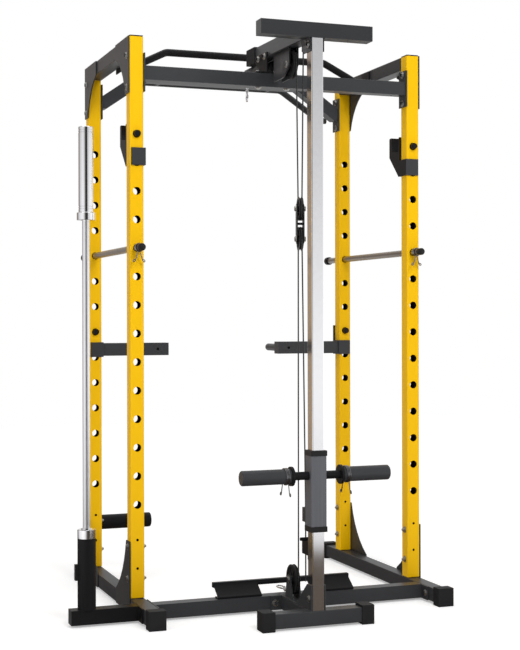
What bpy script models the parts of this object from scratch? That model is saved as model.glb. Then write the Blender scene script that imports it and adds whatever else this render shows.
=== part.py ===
"""A power rack with a plate-loaded cable tower.

Four drilled uprights stand on two floor rails. A near top beam, a cranked far beam and
two side beams tie their tops together, and two pull-up bars hang between them. A
chrome post in front of the cage guides a weight carriage, which a cable lifts over
fixed pulleys and one floating block. J-hooks, safety bars and dip arms hang in the
upright holes, and a short barbell stands in a holder at the left.

Every size below is in metres. While the pieces are made, x runs across the cage with 0
halfway between the uprights, y runs away from the cable tower with 0 halfway between
the near and the far uprights, and z is the height above the floor. At the end the
whole rack moves so that the origin is the middle of its footprint.
"""

import math

import bmesh
import bpy
from mathutils import Matrix, Vector

# Clearances
GAP = 0.0003                  # between two pieces that touch
SLIDE_GAP = 0.0008            # between a piece that slides and what guides it

# Square tube and plate stock
TUBE = 0.050
TUBE_WALL = 0.002
PLATE = 0.005
GUSSET_PLATE = 0.004

# Cage
CAGE_WIDTH = 1.074            # between upright centres, across
CAGE_DEPTH = 0.638            # between upright centres, near to far
UPRIGHT_LENGTH = 1.971
HOLE_COUNT = 14
HOLE_PITCH = 0.100
HOLE_DIA = 0.028
TOP_HOLE_DROP = 0.343         # from the top of the upright to its highest hole
HOLE_SIDES = 8
BOLT_HOLE_DIA = 0.010
DRAIN_DIA = 0.008             # in the underside of each closed tube
BOLT_HOLE_HEIGHTS = (0.105, 0.205)    # above the foot of the upright
HOOK_HOLE = 0                 # holes are counted from the top
SAFETY_HOLE = 4
DIP_HOLE = 7

# Floor rails and their rubber caps
RAIL_LIFT = 0.008             # underside of the rails above the floor
RAIL_NEAR_REACH = 0.280       # from the near upright centre to the near end
RAIL_FAR_REACH = 0.166        # from the far upright centre to the far end
CAP_WALL = 0.005
CAP_LENGTH = 0.045
CAP_OVER = 0.008              # how far a cap stands above the rail
CROSS_OFFSET = 0.121          # cross-member centre, nearer than the near uprights
CROSS_FLANGE = 0.150          # length of its end plates along the rail
CROSS_BOLT_OFFSET = 0.058
HOLDER_RAIL_LENGTH = 0.236

# Barbell and its holder
HOLDER_OUTER = 0.062
HOLDER_BORE = 0.0555
HOLDER_HEIGHT = 0.238
HOLDER_INSET = 0.058          # from the free end of its rail to the tube centre
BAR_DIA = 0.0255
BAR_SHAFT_LENGTH = 1.044
SLEEVE_DIA = 0.050
SLEEVE_BORE = 0.0270
TOP_SLEEVE_LENGTH = 0.290
SLEEVE_END = 0.004            # thickness of a sleeve's closed end
COLLAR_DIA = 0.062
TOP_COLLAR_LENGTH = 0.026
LOW_COLLAR_LENGTH = 0.031

# Gussets
BASE_GUSSET_REACH = 0.150
BASE_GUSSET_RISE = 0.200
TOP_GUSSET_REACH = 0.140
TOP_GUSSET_DROP = 0.200
GUSSET_SAG = 0.026
GUSSET_ARC_STEPS = 6

# Top of the cage
NEAR_BEAM_DROP = 0.126        # from the upright top to the beam centre
END_PLATE_WIDTH = 0.062
END_PLATE_HEIGHT = 0.136
ARCH_DROP = 0.134             # from the upright top to the low ends of the arch
ARCH_RISE = 0.117
ARCH_RUN = 0.180
PULL_BAR_DIA = 0.026
PULL_BAR_BEND = 0.045
MID_BAR_Y = 0.020
MID_BAR_DROP = 0.045          # from the upright top to the bar's ends
MID_BAR_DIA = 0.028
MID_BAR_LEVEL = 0.0462         # level length beside each end plate
MID_BAR_RISE = 0.068
MID_BAR_RUN = 0.138
MID_BAR_PLATE_WIDTH = 0.070
MID_BAR_PLATE_DROP = 0.022    # below the bar's ends
MID_BAR_PLATE_INSET = 0.004   # below the upright's top
FRONT_BAR_OFFSET = 0.141      # beyond the arch
FRONT_BAR_FLAT = 0.620
FRONT_BAR_RISE = 0.120
FRONT_BAR_RUN = 0.180
GRIP_SPACING = 0.240

# Cable tower
TOWER_X = -0.020
TOWER_REACH = 0.287           # tower centre, nearer than the cross-member centre
FOOT_LENGTH = 0.404
POST = 0.043
TOP_BAR_LENGTH = 0.404
BOOM_FOOT_Z = 1.986           # underside of the boom at the tower
BOOM_SLOPE = 0.016
BOOM_LENGTH = 0.577
BOOM_CAP_LENGTH = 0.085
SADDLE_WIDTH = 0.140
SADDLE_REACH = 0.074
SADDLE_BOLT_OFFSET = 0.055
LINK_FLANGE = 0.130

# Pulleys and cable
CABLE_DIA = 0.005
PULLEY_DIA = 0.104
FRONT_PULLEY_DIA = 0.060
PULLEY_WIDTH = 0.022
BLOCK_PULLEY_DIA = 0.084
BLOCK_PULLEY_WIDTH = 0.018
CHEEK_GAP = 0.002             # between a pulley and each cheek
GROOVE_DEPTH = 0.0055
AXLE_DIA = 0.010
PULLEY_BORE_GAP = 0.0006
REAR_PULLEY = Vector((TOWER_X, -0.508, 1.931))
LOW_PULLEY = Vector((TOWER_X, -0.5165, 0.1225))
FRONT_PULLEY_Y = -0.072
BLOCK_TOP_PULLEY = Vector((TOWER_X, -0.589, 1.418))
BLOCK_PULLEY_SPACING = 0.105
BLOCK_TWIST = math.radians(-12.6)
BLOCK_PLATE = 0.003
CABLE_ANCHOR_Y = -0.622
CABLE_LEAD = 0.003            # straight cable at each end of a run round a pulley
LAT_RUN = 0.021               # cable below the front pulley
ROW_RUN = 0.052               # cable beyond the low pulley
LAT_HOOK_LENGTH = 0.060       # ferrule, eye and snap hook
ROW_HOOK_LENGTH = 0.100
ANCHOR_Z = 1.955              # lower end of the stud that holds the cable's fixed end
CABLE_CLAMP_Y = -0.634
CABLE_CLAMP_Z = 0.3665
CABLE_CLAMP_HEIGHT = 0.049
TAIL_LENGTH = 0.206

# Weight carriage
CARRIAGE_BOTTOM = 0.322
CARRIAGE_HEIGHT = 0.273
CARRIAGE_TUBE = 0.056
BUSH_LIP = 0.018
PEG_HEIGHT = 0.510
PEG_DIA = 0.051
PEG_END = 0.268               # from the post centre to the free end
PEG_ROOT = 0.085              # from the post centre to the flange
PEG_NECK_DIA = 0.028
FLANGE_DIA = 0.066
FLANGE_WIDTH = 0.009
CLIP_WIRE = 0.0036
CLIP_TURNS = 3

# Pieces that hang in the uprights
HOOK_PLATE = 0.006
HOOK_DROP = 0.079             # from the pin to the middle of the near plate
HOOK_NEAR_HEIGHT = 0.061
HOOK_REACH = 0.088            # beyond the far face of the upright
PIN_DIA = 0.024
SAFETY_DIA = 0.0245
SAFETY_NEAR_REACH = 0.075     # beyond the near face of the near upright
SAFETY_FAR_REACH = 0.140      # beyond the far face of the far upright
DIP_DROP = 0.070
DIP_ARM_LENGTH = 0.275
DIP_HANDLE_DIA = 0.030
DIP_HANDLE_LENGTH = 0.125
STORAGE_DIA = 0.058
STORAGE_LENGTH = 0.215
STORAGE_HEIGHT = 0.222
STORAGE_PLATE_REACH = 0.020   # past the upright's centre
STORAGE_PLATE_HEIGHT = 0.150
STORAGE_SIDE_HEIGHT = 0.070
STORAGE_CHAMFER = 0.003

# Foot rest
FOOT_REST_LENGTH = 0.520
FOOT_REST_BAR = 0.018         # side of its square bar
FOOT_REST_RISE = 0.031        # from the rails' top to the bar
FOOT_REST_OFFSET = 0.040      # from the cross-member's middle to the bar's
TREAD_INNER = 0.095           # from the tower's middle to a tread's inner end
TREAD_OUTER = 0.258
TREAD_EDGE = 0.018            # from the cross-member's middle to the near edge
TREAD_FOOT = 0.020
TREAD_FOOT_PLATE = 0.004
TREAD_REACH = 0.034
TREAD_RISE = 0.041
TREAD_HEEL = 0.007            # height of the near edge

# Bolts
BOLT_HEAD_DIA = 0.017
BOLT_HEAD_HEIGHT = 0.006

# Worked out from the sizes above
CABLE_SEAT = CABLE_DIA / 2 + 0.001 - GROOVE_DEPTH     # from a pulley's rim to the cable's middle
BOOM_CABLE_Z = REAR_PULLEY.z + PULLEY_DIA / 2 + CABLE_SEAT
FRONT_PULLEY = Vector((TOWER_X, FRONT_PULLEY_Y, BOOM_CABLE_Z - FRONT_PULLEY_DIA / 2 - CABLE_SEAT))
RAIL_TOP = RAIL_LIFT + TUBE
UPRIGHT_FOOT = RAIL_TOP + GAP
UPRIGHT_TOP = UPRIGHT_FOOT + UPRIGHT_LENGTH
HALF = TUBE / 2
SIDE_X = CAGE_WIDTH / 2
NEAR_Y = -CAGE_DEPTH / 2
FAR_Y = CAGE_DEPTH / 2
INNER_X = SIDE_X - HALF
OUTER_X = SIDE_X + HALF
CROSS_Y = NEAR_Y - CROSS_OFFSET
TOWER_Y = CROSS_Y - TOWER_REACH
POST_FOOT = RAIL_TOP + GAP
TOP_BAR_Z = UPRIGHT_TOP - HALF
BOOM_START = TOWER_Y + HALF
BOOM_END = BOOM_START + BOOM_LENGTH
BEAM_Z = UPRIGHT_TOP - NEAR_BEAM_DROP
CABLE_R = CABLE_DIA / 2


def clear_scene():
    for obj in list(bpy.data.objects):
        bpy.data.objects.remove(obj, do_unlink=True)


def make_material(name, colour, roughness, metallic):
    material = bpy.data.materials.new(name)
    material.use_nodes = True
    shader = material.node_tree.nodes["Principled BSDF"]
    shader.inputs["Base Color"].default_value = (*colour, 1.0)
    shader.inputs["Roughness"].default_value = roughness
    shader.inputs["Metallic"].default_value = metallic
    material.diffuse_color = (*colour, 1.0)
    return material


FINISHES = {
    "yellow": ((0.83, 0.53, 0.01), 0.35, 0.0),
    "charcoal": ((0.045, 0.045, 0.05), 0.45, 0.0),
    "rubber": ((0.02, 0.02, 0.022), 0.75, 0.0),
    "plastic": ((0.015, 0.015, 0.017), 0.5, 0.0),
    "chrome": ((0.78, 0.78, 0.8), 0.12, 1.0),
    "cable": ((0.03, 0.03, 0.03), 0.4, 0.0),
    "bar": ((0.33, 0.31, 0.29), 0.35, 1.0),
}


# Building blocks

def scratch(bm, name="piece"):
    """Turn a bmesh into an object that the rest of the script can cut or rename."""
    bmesh.ops.recalc_face_normals(bm, faces=bm.faces)
    mesh = bpy.data.meshes.new(name)
    bm.to_mesh(mesh)
    bm.free()
    obj = bpy.data.objects.new(name, mesh)
    bpy.context.scene.collection.objects.link(obj)
    return obj


def block(x_range, y_range, z_range):
    """A box between two values on each axis."""
    bm = bmesh.new()
    bmesh.ops.create_cube(bm, size=1.0)
    for vert in bm.verts:
        vert.co = Vector((
            x_range[0] if vert.co.x < 0 else x_range[1],
            y_range[0] if vert.co.y < 0 else y_range[1],
            z_range[0] if vert.co.z < 0 else z_range[1],
        ))
    return scratch(bm)


def around(centre, size):
    return (centre - size / 2, centre + size / 2)


def prism(outline, axis, start, end):
    """An outline in the plane across an axis, extruded from start to end along it."""
    bm = bmesh.new()
    place = {
        "x": lambda a, b, along: Vector((along, a, b)),
        "y": lambda a, b, along: Vector((a, along, b)),
        "z": lambda a, b, along: Vector((a, b, along)),
    }[axis]
    low = [bm.verts.new(place(a, b, start)) for a, b in outline]
    high = [bm.verts.new(place(a, b, end)) for a, b in outline]
    bm.faces.new(low)
    bm.faces.new(high)
    for index, vert in enumerate(low):
        other = (index + 1) % len(low)
        bm.faces.new((vert, low[other], high[other], high[index]))
    return scratch(bm)


def turned(profile, start, direction, sides=16):
    """A solid of revolution: (distance along the axis, radius) from end to end."""
    bm = bmesh.new()
    direction = Vector(direction).normalized()
    turn = Vector((0, 0, 1)).rotation_difference(direction).to_matrix()
    start = Vector(start)
    rings = []
    for along, radius in profile:
        ring = []
        for side in range(sides):
            angle = 2 * math.pi * (side + 0.5) / sides
            spoke = Vector((radius * math.cos(angle), radius * math.sin(angle), along))
            ring.append(bm.verts.new(start + turn @ spoke))
        rings.append(ring)
    for low, high in zip(rings, rings[1:]):
        for side in range(sides):
            other = (side + 1) % sides
            bm.faces.new((low[side], low[other], high[other], high[side]))
    bm.faces.new(rings[0])
    bm.faces.new(rings[-1])
    return scratch(bm)


def rod(start, end, diameter, sides=16):
    start, end = Vector(start), Vector(end)
    length = (end - start).length
    return turned([(0, diameter / 2), (length, diameter / 2)], start, end - start, sides)


def swept(points, section, normal):
    """A section carried along a flat path. Its points are (in the path's plane, across it)."""
    bm = bmesh.new()
    normal = Vector(normal).normalized()
    points = [Vector(point) for point in points]
    rings = []
    for index, point in enumerate(points):
        before = (point - points[index - 1]).normalized() if index else None
        after = None
        if index + 1 < len(points):
            after = (points[index + 1] - point).normalized()
        before = before or after
        after = after or before
        tangent = (before + after).normalized()
        side = normal.cross(tangent)
        stretch = 1 / max(0.2, tangent.dot(after))
        rings.append([
            bm.verts.new(point + side * (a * stretch) + normal * b) for a, b in section
        ])
    for low, high in zip(rings, rings[1:]):
        for index in range(len(section)):
            other = (index + 1) % len(section)
            bm.faces.new((low[index], low[other], high[other], high[index]))
    bm.faces.new(rings[0])
    bm.faces.new(rings[-1])
    return scratch(bm)


def round_section(diameter, sides=10):
    return [
        (
            diameter / 2 * math.cos(2 * math.pi * (side + 0.5) / sides),
            diameter / 2 * math.sin(2 * math.pi * (side + 0.5) / sides),
        )
        for side in range(sides)
    ]


def square_section(width):
    return [(-width / 2, -width / 2), (width / 2, -width / 2), (width / 2, width / 2), (-width / 2, width / 2)]


def rounded_path(corners, radius, steps=4):
    """The corners joined by straight runs, with an arc of the radius at each bend."""
    corners = [Vector(corner) for corner in corners]
    path = [corners[0]]
    for before, corner, after in zip(corners, corners[1:], corners[2:]):
        into = (corner - before).normalized()
        out = (after - corner).normalized()
        bend = into.angle(out)
        back = radius * math.tan(bend / 2)
        centre = corner + (out - into).normalized() * (radius / math.cos(bend / 2))
        first = corner - into * back - centre
        axis = into.cross(out).normalized()
        for step in range(steps + 1):
            path.append(centre + Matrix.Rotation(bend * step / steps, 3, axis) @ first)
    path.append(corners[-1])
    return path


def take_shape(obj, operation, other):
    """Join or cut with another piece, which is used up."""
    modifier = obj.modifiers.new(operation, "BOOLEAN")
    modifier.operation = operation
    modifier.solver = "EXACT"
    modifier.object = other
    graph = bpy.context.evaluated_depsgraph_get()
    mesh = bpy.data.meshes.new_from_object(obj.evaluated_get(graph))
    obj.modifiers.clear()
    obj.data = mesh
    bpy.data.objects.remove(other, do_unlink=True)
    return obj


def joined(first, *others):
    for other in others:
        take_shape(first, "UNION", other)
    return first


def cut(first, *others):
    for other in others:
        take_shape(first, "DIFFERENCE", other)
    return first


def gathered(pieces):
    """Several separate solids in one object."""
    bm = bmesh.new()
    for piece in pieces:
        bm.from_mesh(piece.data)
        bpy.data.objects.remove(piece, do_unlink=True)
    return scratch(bm)


def finish(name, obj, finish_name, smooth=False):
    """Name a piece, give it its own material and parent it to the rack."""
    obj.name = name
    obj.data.name = name
    obj.data.materials.clear()
    obj.data.materials.append(make_material(f"{name}_{finish_name}", *FINISHES[finish_name]))
    if smooth:
        obj.data.shade_smooth()
        obj.data.set_sharp_from_angle(angle=math.radians(35))
    obj.parent = RACK
    PIECES.append(obj)
    return obj


def on_axis(obj, point):
    """Move a piece's origin onto its joint's axis, with the piece left where it is."""
    point = Vector(point)
    obj.data.transform(Matrix.Translation(-point))
    obj.location = point
    return obj


def bolt_head(point, axis):
    """A hex head standing on a face. It starts inside the plate that it is joined to."""
    axis = Vector(axis).normalized()
    return turned([(0, BOLT_HEAD_DIA / 2), (BOLT_HEAD_HEIGHT + 0.001, BOLT_HEAD_DIA / 2)],
                  Vector(point) - axis * 0.001, axis, 6)


def drain(x, y, underside):
    """A cutter for the small hole that lets paint run out of a closed tube."""
    return rod((x, y, underside - 0.01), (x, y, underside + 0.01), DRAIN_DIA, 6)


def hole_height(number):
    return UPRIGHT_TOP - TOP_HOLE_DROP - number * HOLE_PITCH


def side_sign(side):
    return -1 if side == "left" else 1


def square_tube(axis, start, end, across, height, width=TUBE, wall=TUBE_WALL):
    """A square tube with open ends. Across and height are the middle of its section."""
    bore = width - 2 * wall
    over = 0.01
    if axis == "x":
        outer = block((start, end), around(across, width), around(height, width))
        inner = block((start - over, end + over), around(across, bore), around(height, bore))
    else:
        outer = block(around(across, width), (start, end), around(height, width))
        inner = block(around(across, bore), (start - over, end + over), around(height, bore))
    return cut(outer, inner)


# The cage

def upright(name, x, y):
    outer = block(around(x, TUBE), around(y, TUBE), (UPRIGHT_FOOT, UPRIGHT_TOP))
    bore = TUBE - 2 * TUBE_WALL
    inner = block(
        around(x, bore), around(y, bore),
        (UPRIGHT_FOOT + TUBE_WALL, UPRIGHT_TOP - TUBE_WALL),
    )
    cut(outer, inner)
    drills = []
    for number in range(HOLE_COUNT):
        z = hole_height(number)
        drills.append(rod((x, y - TUBE, z), (x, y + TUBE, z), HOLE_DIA, HOLE_SIDES))
    for height in BOLT_HOLE_HEIGHTS:
        z = UPRIGHT_FOOT + height
        drills.append(rod((x, y - TUBE, z), (x, y + TUBE, z), BOLT_HOLE_DIA, 6))
    cut(outer, gathered(drills))
    finish(name, outer, "yellow")


def make_uprights():
    for depth, y in (("near", NEAR_Y), ("far", FAR_Y)):
        for side in ("left", "right"):
            upright(f"upright_{depth}_{side}", side_sign(side) * SIDE_X, y)


def end_cap(axis, end, inward, across):
    """A rubber cap over the open end of a floor tube. Inward is +1 or -1 along the axis."""
    outside = end - inward * CAP_WALL
    inside = end + inward * (CAP_LENGTH - CAP_WALL)
    along = (min(outside, inside), max(outside, inside))
    bore = (end + inward * -GAP, inside + inward * 0.01)
    bore = (min(bore), max(bore))
    width = TUBE + 2 * CAP_WALL
    z_range = (0, RAIL_TOP + CAP_OVER)
    hole_z = (RAIL_LIFT - GAP, RAIL_TOP + GAP)
    if axis == "y":
        return cut(
            block(around(across, width), along, z_range),
            block(around(across, TUBE + 2 * GAP), bore, hole_z),
        )
    return cut(
        block(along, around(across, width), z_range),
        block(bore, around(across, TUBE + 2 * GAP), hole_z),
    )


def make_floor_frame():
    near_end = NEAR_Y - RAIL_NEAR_REACH
    far_end = FAR_Y + RAIL_FAR_REACH
    rail_z = RAIL_LIFT + HALF
    for side in ("left", "right"):
        sign = side_sign(side)
        x = sign * SIDE_X
        rail = square_tube("y", near_end, far_end, x, rail_z)
        joined(rail, *gussets(sign, RAIL_LIFT, RAIL_TOP, UPRIGHT_FOOT + BASE_GUSSET_RISE,
                              BASE_GUSSET_REACH, (0.067, 0.179)))
        finish(f"floor_rail_{side}", rail, "charcoal")
        finish(f"rail_cap_near_{side}", end_cap("y", near_end, 1, x), "rubber")
        finish(f"rail_cap_far_{side}", end_cap("y", far_end, -1, x), "rubber")

    reach = INNER_X - GAP
    cross = square_tube("x", -reach + PLATE / 2, reach - PLATE / 2, CROSS_Y, rail_z)
    parts = []
    for sign in (-1, 1):
        x_range = sorted((sign * reach, sign * (reach - PLATE)))
        parts.append(block(x_range, around(CROSS_Y, CROSS_FLANGE), (RAIL_LIFT, RAIL_TOP)))
        for shift in (-1, 1):
            place = (sign * (reach - PLATE), CROSS_Y + shift * CROSS_BOLT_OFFSET, rail_z)
            parts.append(bolt_head(place, (-sign, 0, 0)))
    hole = drain(-reach * 0.9, CROSS_Y, RAIL_LIFT)
    finish("floor_cross_member", cut(joined(cross, *parts), hole), "charcoal")


def gusset_outline(face_y, toward, reach, edge_z, rail_z, tip_z):
    """A gusset seen from the side. It covers the upright's 50 mm, then sweeps down to
    the rail in a hollow arc. Toward is the way it reaches along y."""
    back = face_y - toward * TUBE
    far = face_y + toward * reach
    start, end = Vector((far, rail_z)), Vector((face_y, tip_z))
    chord = end - start
    normal = Vector((-chord.y, chord.x)).normalized()
    middle = (start + end) / 2
    corner = Vector((face_y, rail_z))
    if normal.dot(corner - middle) < 0:
        normal = -normal
    radius = (chord.length ** 2 / 4 + GUSSET_SAG ** 2) / (2 * GUSSET_SAG)
    centre = middle + normal * (GUSSET_SAG - radius)
    first, last = start - centre, end - centre
    turn = math.atan2(first.x * last.y - first.y * last.x, first.dot(last))
    arc = []
    for step in range(GUSSET_ARC_STEPS + 1):
        angle = turn * step / GUSSET_ARC_STEPS
        arc.append((
            centre.x + first.x * math.cos(angle) - first.y * math.sin(angle),
            centre.y + first.x * math.sin(angle) + first.y * math.cos(angle),
        ))
    return [(back, edge_z), (far, edge_z), *arc, (back, tip_z)]


def gussets(sign, edge_z, weld_z, tip_z, reach, bolt_rises):
    """The two plates welded to one side's rail or beam, with their bolts to the uprights.
    Each covers an upright's outer face from edge_z to tip_z. Bolt rises are from the
    upright's end."""
    parts = []
    up = 1 if tip_z > edge_z else -1
    base = UPRIGHT_FOOT if up > 0 else UPRIGHT_TOP
    outer = OUTER_X + GAP + GUSSET_PLATE
    plate_x = sorted((sign * (OUTER_X + GAP), sign * outer))
    weld_x = sorted((sign * (OUTER_X - 0.001), sign * (OUTER_X + GAP + 0.001)))
    for y, toward in ((NEAR_Y, 1), (FAR_Y, -1)):
        face_y = y + toward * HALF
        outline = gusset_outline(face_y, toward, reach, edge_z, weld_z + up * 0.004, tip_z)
        parts.append(prism(outline, "x", *plate_x))
        weld_y = sorted((face_y + toward * 0.004, face_y + toward * (reach - 0.004)))
        parts.append(block(weld_x, weld_y, sorted((edge_z + up * 0.004, weld_z - up * 0.004))))
        for rise in bolt_rises:
            parts.append(bolt_head((sign * outer, y, base + up * rise), (sign, 0, 0)))
    return parts


def make_side_beams():
    start, end = NEAR_Y + HALF + GAP, FAR_Y - HALF - GAP
    low = UPRIGHT_TOP - TUBE
    for side in ("left", "right"):
        sign = side_sign(side)
        x = sign * SIDE_X
        beam = square_tube("y", start, end, x, UPRIGHT_TOP - HALF)
        ends = [
            block(around(x, TUBE), (start, start + TUBE_WALL), (low, UPRIGHT_TOP)),
            block(around(x, TUBE), (end - TUBE_WALL, end), (low, UPRIGHT_TOP)),
        ]
        plates = gussets(sign, UPRIGHT_TOP, low, UPRIGHT_TOP - TOP_GUSSET_DROP, TOP_GUSSET_REACH, (0.066, 0.178))
        hole = drain(x, end - 0.03, low)
        finish(f"side_beam_{side}", cut(joined(beam, *ends, *plates), hole), "charcoal")


def end_plates(y, z):
    """Bolted plates on the inner faces of two uprights, for a beam between them."""
    parts = []
    for sign in (-1, 1):
        inner = sign * (INNER_X - GAP)
        x_range = sorted((inner, inner - sign * PLATE))
        parts.append(block(x_range, around(y, END_PLATE_WIDTH), around(z, END_PLATE_HEIGHT)))
        for shift in (-1, 1):
            place = (inner - sign * PLATE, y, z + shift * (END_PLATE_HEIGHT / 2 - 0.014))
            parts.append(bolt_head(place, (-sign, 0, 0)))
    return parts


def make_top_beams():
    reach = INNER_X - GAP - PLATE / 2
    near = square_tube("x", -reach, reach, NEAR_Y, BEAM_Z)
    for shift in (-1, 1):
        place = (TOWER_X + shift * SADDLE_BOLT_OFFSET, NEAR_Y, BEAM_Z - HALF)
        joined(near, bolt_head(place, (0, 0, -1)))
    hole = drain(reach * 0.9, NEAR_Y, BEAM_Z - HALF)
    finish("near_top_beam", cut(joined(near, *end_plates(NEAR_Y, BEAM_Z)), hole), "charcoal")

    low = UPRIGHT_TOP - ARCH_DROP
    run = reach - ARCH_RUN
    path = [
        (-reach, FAR_Y, low), (-reach + 0.012, FAR_Y, low), (-run, FAR_Y, low + ARCH_RISE),
        (run, FAR_Y, low + ARCH_RISE), (reach - 0.012, FAR_Y, low), (reach, FAR_Y, low),
    ]
    arch = swept(path, square_section(TUBE), (0, 1, 0))
    joined(arch, *end_plates(FAR_Y, low), *front_pull_up_bar())
    finish("far_arch_beam", arch, "charcoal", smooth=True)


def bent_bar(y, ends, flat, run, rise, low, diameter):
    """A pull-up bar that rises from level ends to a raised middle."""
    half = flat / 2
    corners = [
        (-ends, y, low), (-half - run, y, low), (-half, y, low + rise),
        (half, y, low + rise), (half + run, y, low), (ends, y, low),
    ]
    return swept(rounded_path(corners, PULL_BAR_BEND), round_section(diameter), (0, 1, 0))


def front_pull_up_bar():
    """The bar on the far side of the arch and the two grips that carry it."""
    y = FAR_Y + FRONT_BAR_OFFSET
    top = UPRIGHT_TOP - ARCH_DROP + ARCH_RISE
    end_x = FRONT_BAR_FLAT / 2 + FRONT_BAR_RUN + 0.03
    bar = bent_bar(y, end_x, FRONT_BAR_FLAT, FRONT_BAR_RUN, FRONT_BAR_RISE, top - FRONT_BAR_RISE, PULL_BAR_DIA)
    grips = [
        rod((sign * GRIP_SPACING, FAR_Y + HALF - 0.002, top), (sign * GRIP_SPACING, y, top), PULL_BAR_DIA, 16)
        for sign in (-1, 1)
    ]
    return [bar, *grips]


def make_middle_bar():
    reach = INNER_X - GAP - PLATE / 2
    low = UPRIGHT_TOP - MID_BAR_DROP
    flat = 2 * (reach - MID_BAR_LEVEL - MID_BAR_RUN)
    bar = bent_bar(MID_BAR_Y, reach, flat, MID_BAR_RUN, MID_BAR_RISE, low, MID_BAR_DIA)
    plates = [
        block(sorted((sign * (INNER_X - GAP), sign * (INNER_X - GAP - PLATE))),
              around(MID_BAR_Y, MID_BAR_PLATE_WIDTH),
              (low - MID_BAR_PLATE_DROP, UPRIGHT_TOP - MID_BAR_PLATE_INSET))
        for sign in (-1, 1)
    ]
    finish("pull_up_bar_middle", joined(bar, *plates), "plastic", smooth=True)


# The cable tower

def cheek_plates(outline, half_gap, thickness):
    """Two plates with one outline, either side of the tower's middle plane."""
    return [
        prism(outline, "x", *sorted((TOWER_X + sign * half_gap, TOWER_X + sign * (half_gap + thickness))))
        for sign in (-1, 1)
    ]


def axle(centre, half_grip, twist=0.0):
    """A pulley bolt through two cheeks, with its head on the left and its nut on the right."""
    direction = Matrix.Rotation(twist, 3, "Z") @ Vector((1, 0, 0))
    length = 2 * (half_grip + BOLT_HEAD_HEIGHT)
    head, shank = BOLT_HEAD_DIA / 2, AXLE_DIA / 2
    grip = BOLT_HEAD_HEIGHT + 0.001
    profile = [
        (0, head), (grip, head), (grip, shank), (length - grip, shank), (length - grip, head), (length, head),
    ]
    return turned(profile, centre - direction * (length / 2), direction, 12)


def make_tower_frame():
    rail_z = RAIL_LIFT + HALF
    half_foot = FOOT_LENGTH / 2 - CAP_WALL
    foot = square_tube("x", TOWER_X - half_foot, TOWER_X + half_foot, TOWER_Y, rail_z)
    for side in ("left", "right"):
        sign = side_sign(side)
        cap = end_cap("x", TOWER_X + sign * half_foot, -sign, TOWER_Y)
        finish(f"tower_foot_cap_{side}", cap, "rubber")

    start, end = TOWER_Y + HALF - 0.001, CROSS_Y - HALF - GAP
    link = square_tube("y", start, end - PLATE / 2, TOWER_X, rail_z)
    flange = block(around(TOWER_X, LINK_FLANGE), (end - PLATE, end), (RAIL_LIFT, RAIL_TOP))
    y, z = LOW_PULLEY.y, LOW_PULLEY.z
    cheek_half = PULLEY_WIDTH / 2 + CHEEK_GAP
    cheeks = cheek_plates(
        [(y - 0.032, RAIL_TOP - 0.001), (y + 0.032, RAIL_TOP - 0.001), (y + 0.016, z + 0.010),
         (y + 0.008, z + 0.016), (y - 0.008, z + 0.016), (y - 0.016, z + 0.010)],
        cheek_half, PLATE,
    )
    wings = cheek_plates(
        [(TOWER_Y - POST / 2, RAIL_TOP - 0.004), (TOWER_Y + HALF + 0.095, RAIL_TOP - 0.004),
         (TOWER_Y + HALF + 0.095, RAIL_TOP), (TOWER_Y + 0.018, RAIL_TOP + 0.085),
         (TOWER_Y - POST / 2, RAIL_TOP + 0.085)],
        POST / 2 + GAP, GUSSET_PLATE,
    )
    heads = []
    for sign in (-1, 1):
        heads.append(bolt_head((TOWER_X + sign * 0.048, end - PLATE, rail_z), (0, -1, 0)))
        face = TOWER_X + sign * (POST / 2 + GAP + GUSSET_PLATE)
        heads.append(bolt_head((face, TOWER_Y, RAIL_TOP + 0.038), (sign, 0, 0)))
    base = joined(foot, link, flange, *cheeks, *wings, *heads, axle(LOW_PULLEY, cheek_half + PLATE))
    cut(base, drain(TOWER_X, end - 0.05, RAIL_LIFT))
    finish("tower_base", base, "charcoal")

    bar_bottom = TOP_BAR_Z - HALF
    post = block(around(TOWER_X, POST), around(TOWER_Y, POST), (POST_FOOT, bar_bottom - GAP))
    bore = POST - 2 * TUBE_WALL
    hollow = block(around(TOWER_X, bore), around(TOWER_Y, bore), (POST_FOOT - 0.01, bar_bottom - 0.012))
    finish("tower_post", cut(post, hollow), "chrome")


def boom_underside(y):
    return BOOM_FOOT_Z + (y - BOOM_START) * BOOM_SLOPE


def boom_band(start, end, below, above):
    """An outline along the boom, from start to end along y, at heights above its underside."""
    return [
        (start, boom_underside(start) + below), (end, boom_underside(end) + below),
        (end, boom_underside(end) + above), (start, boom_underside(start) + above),
    ]


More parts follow.
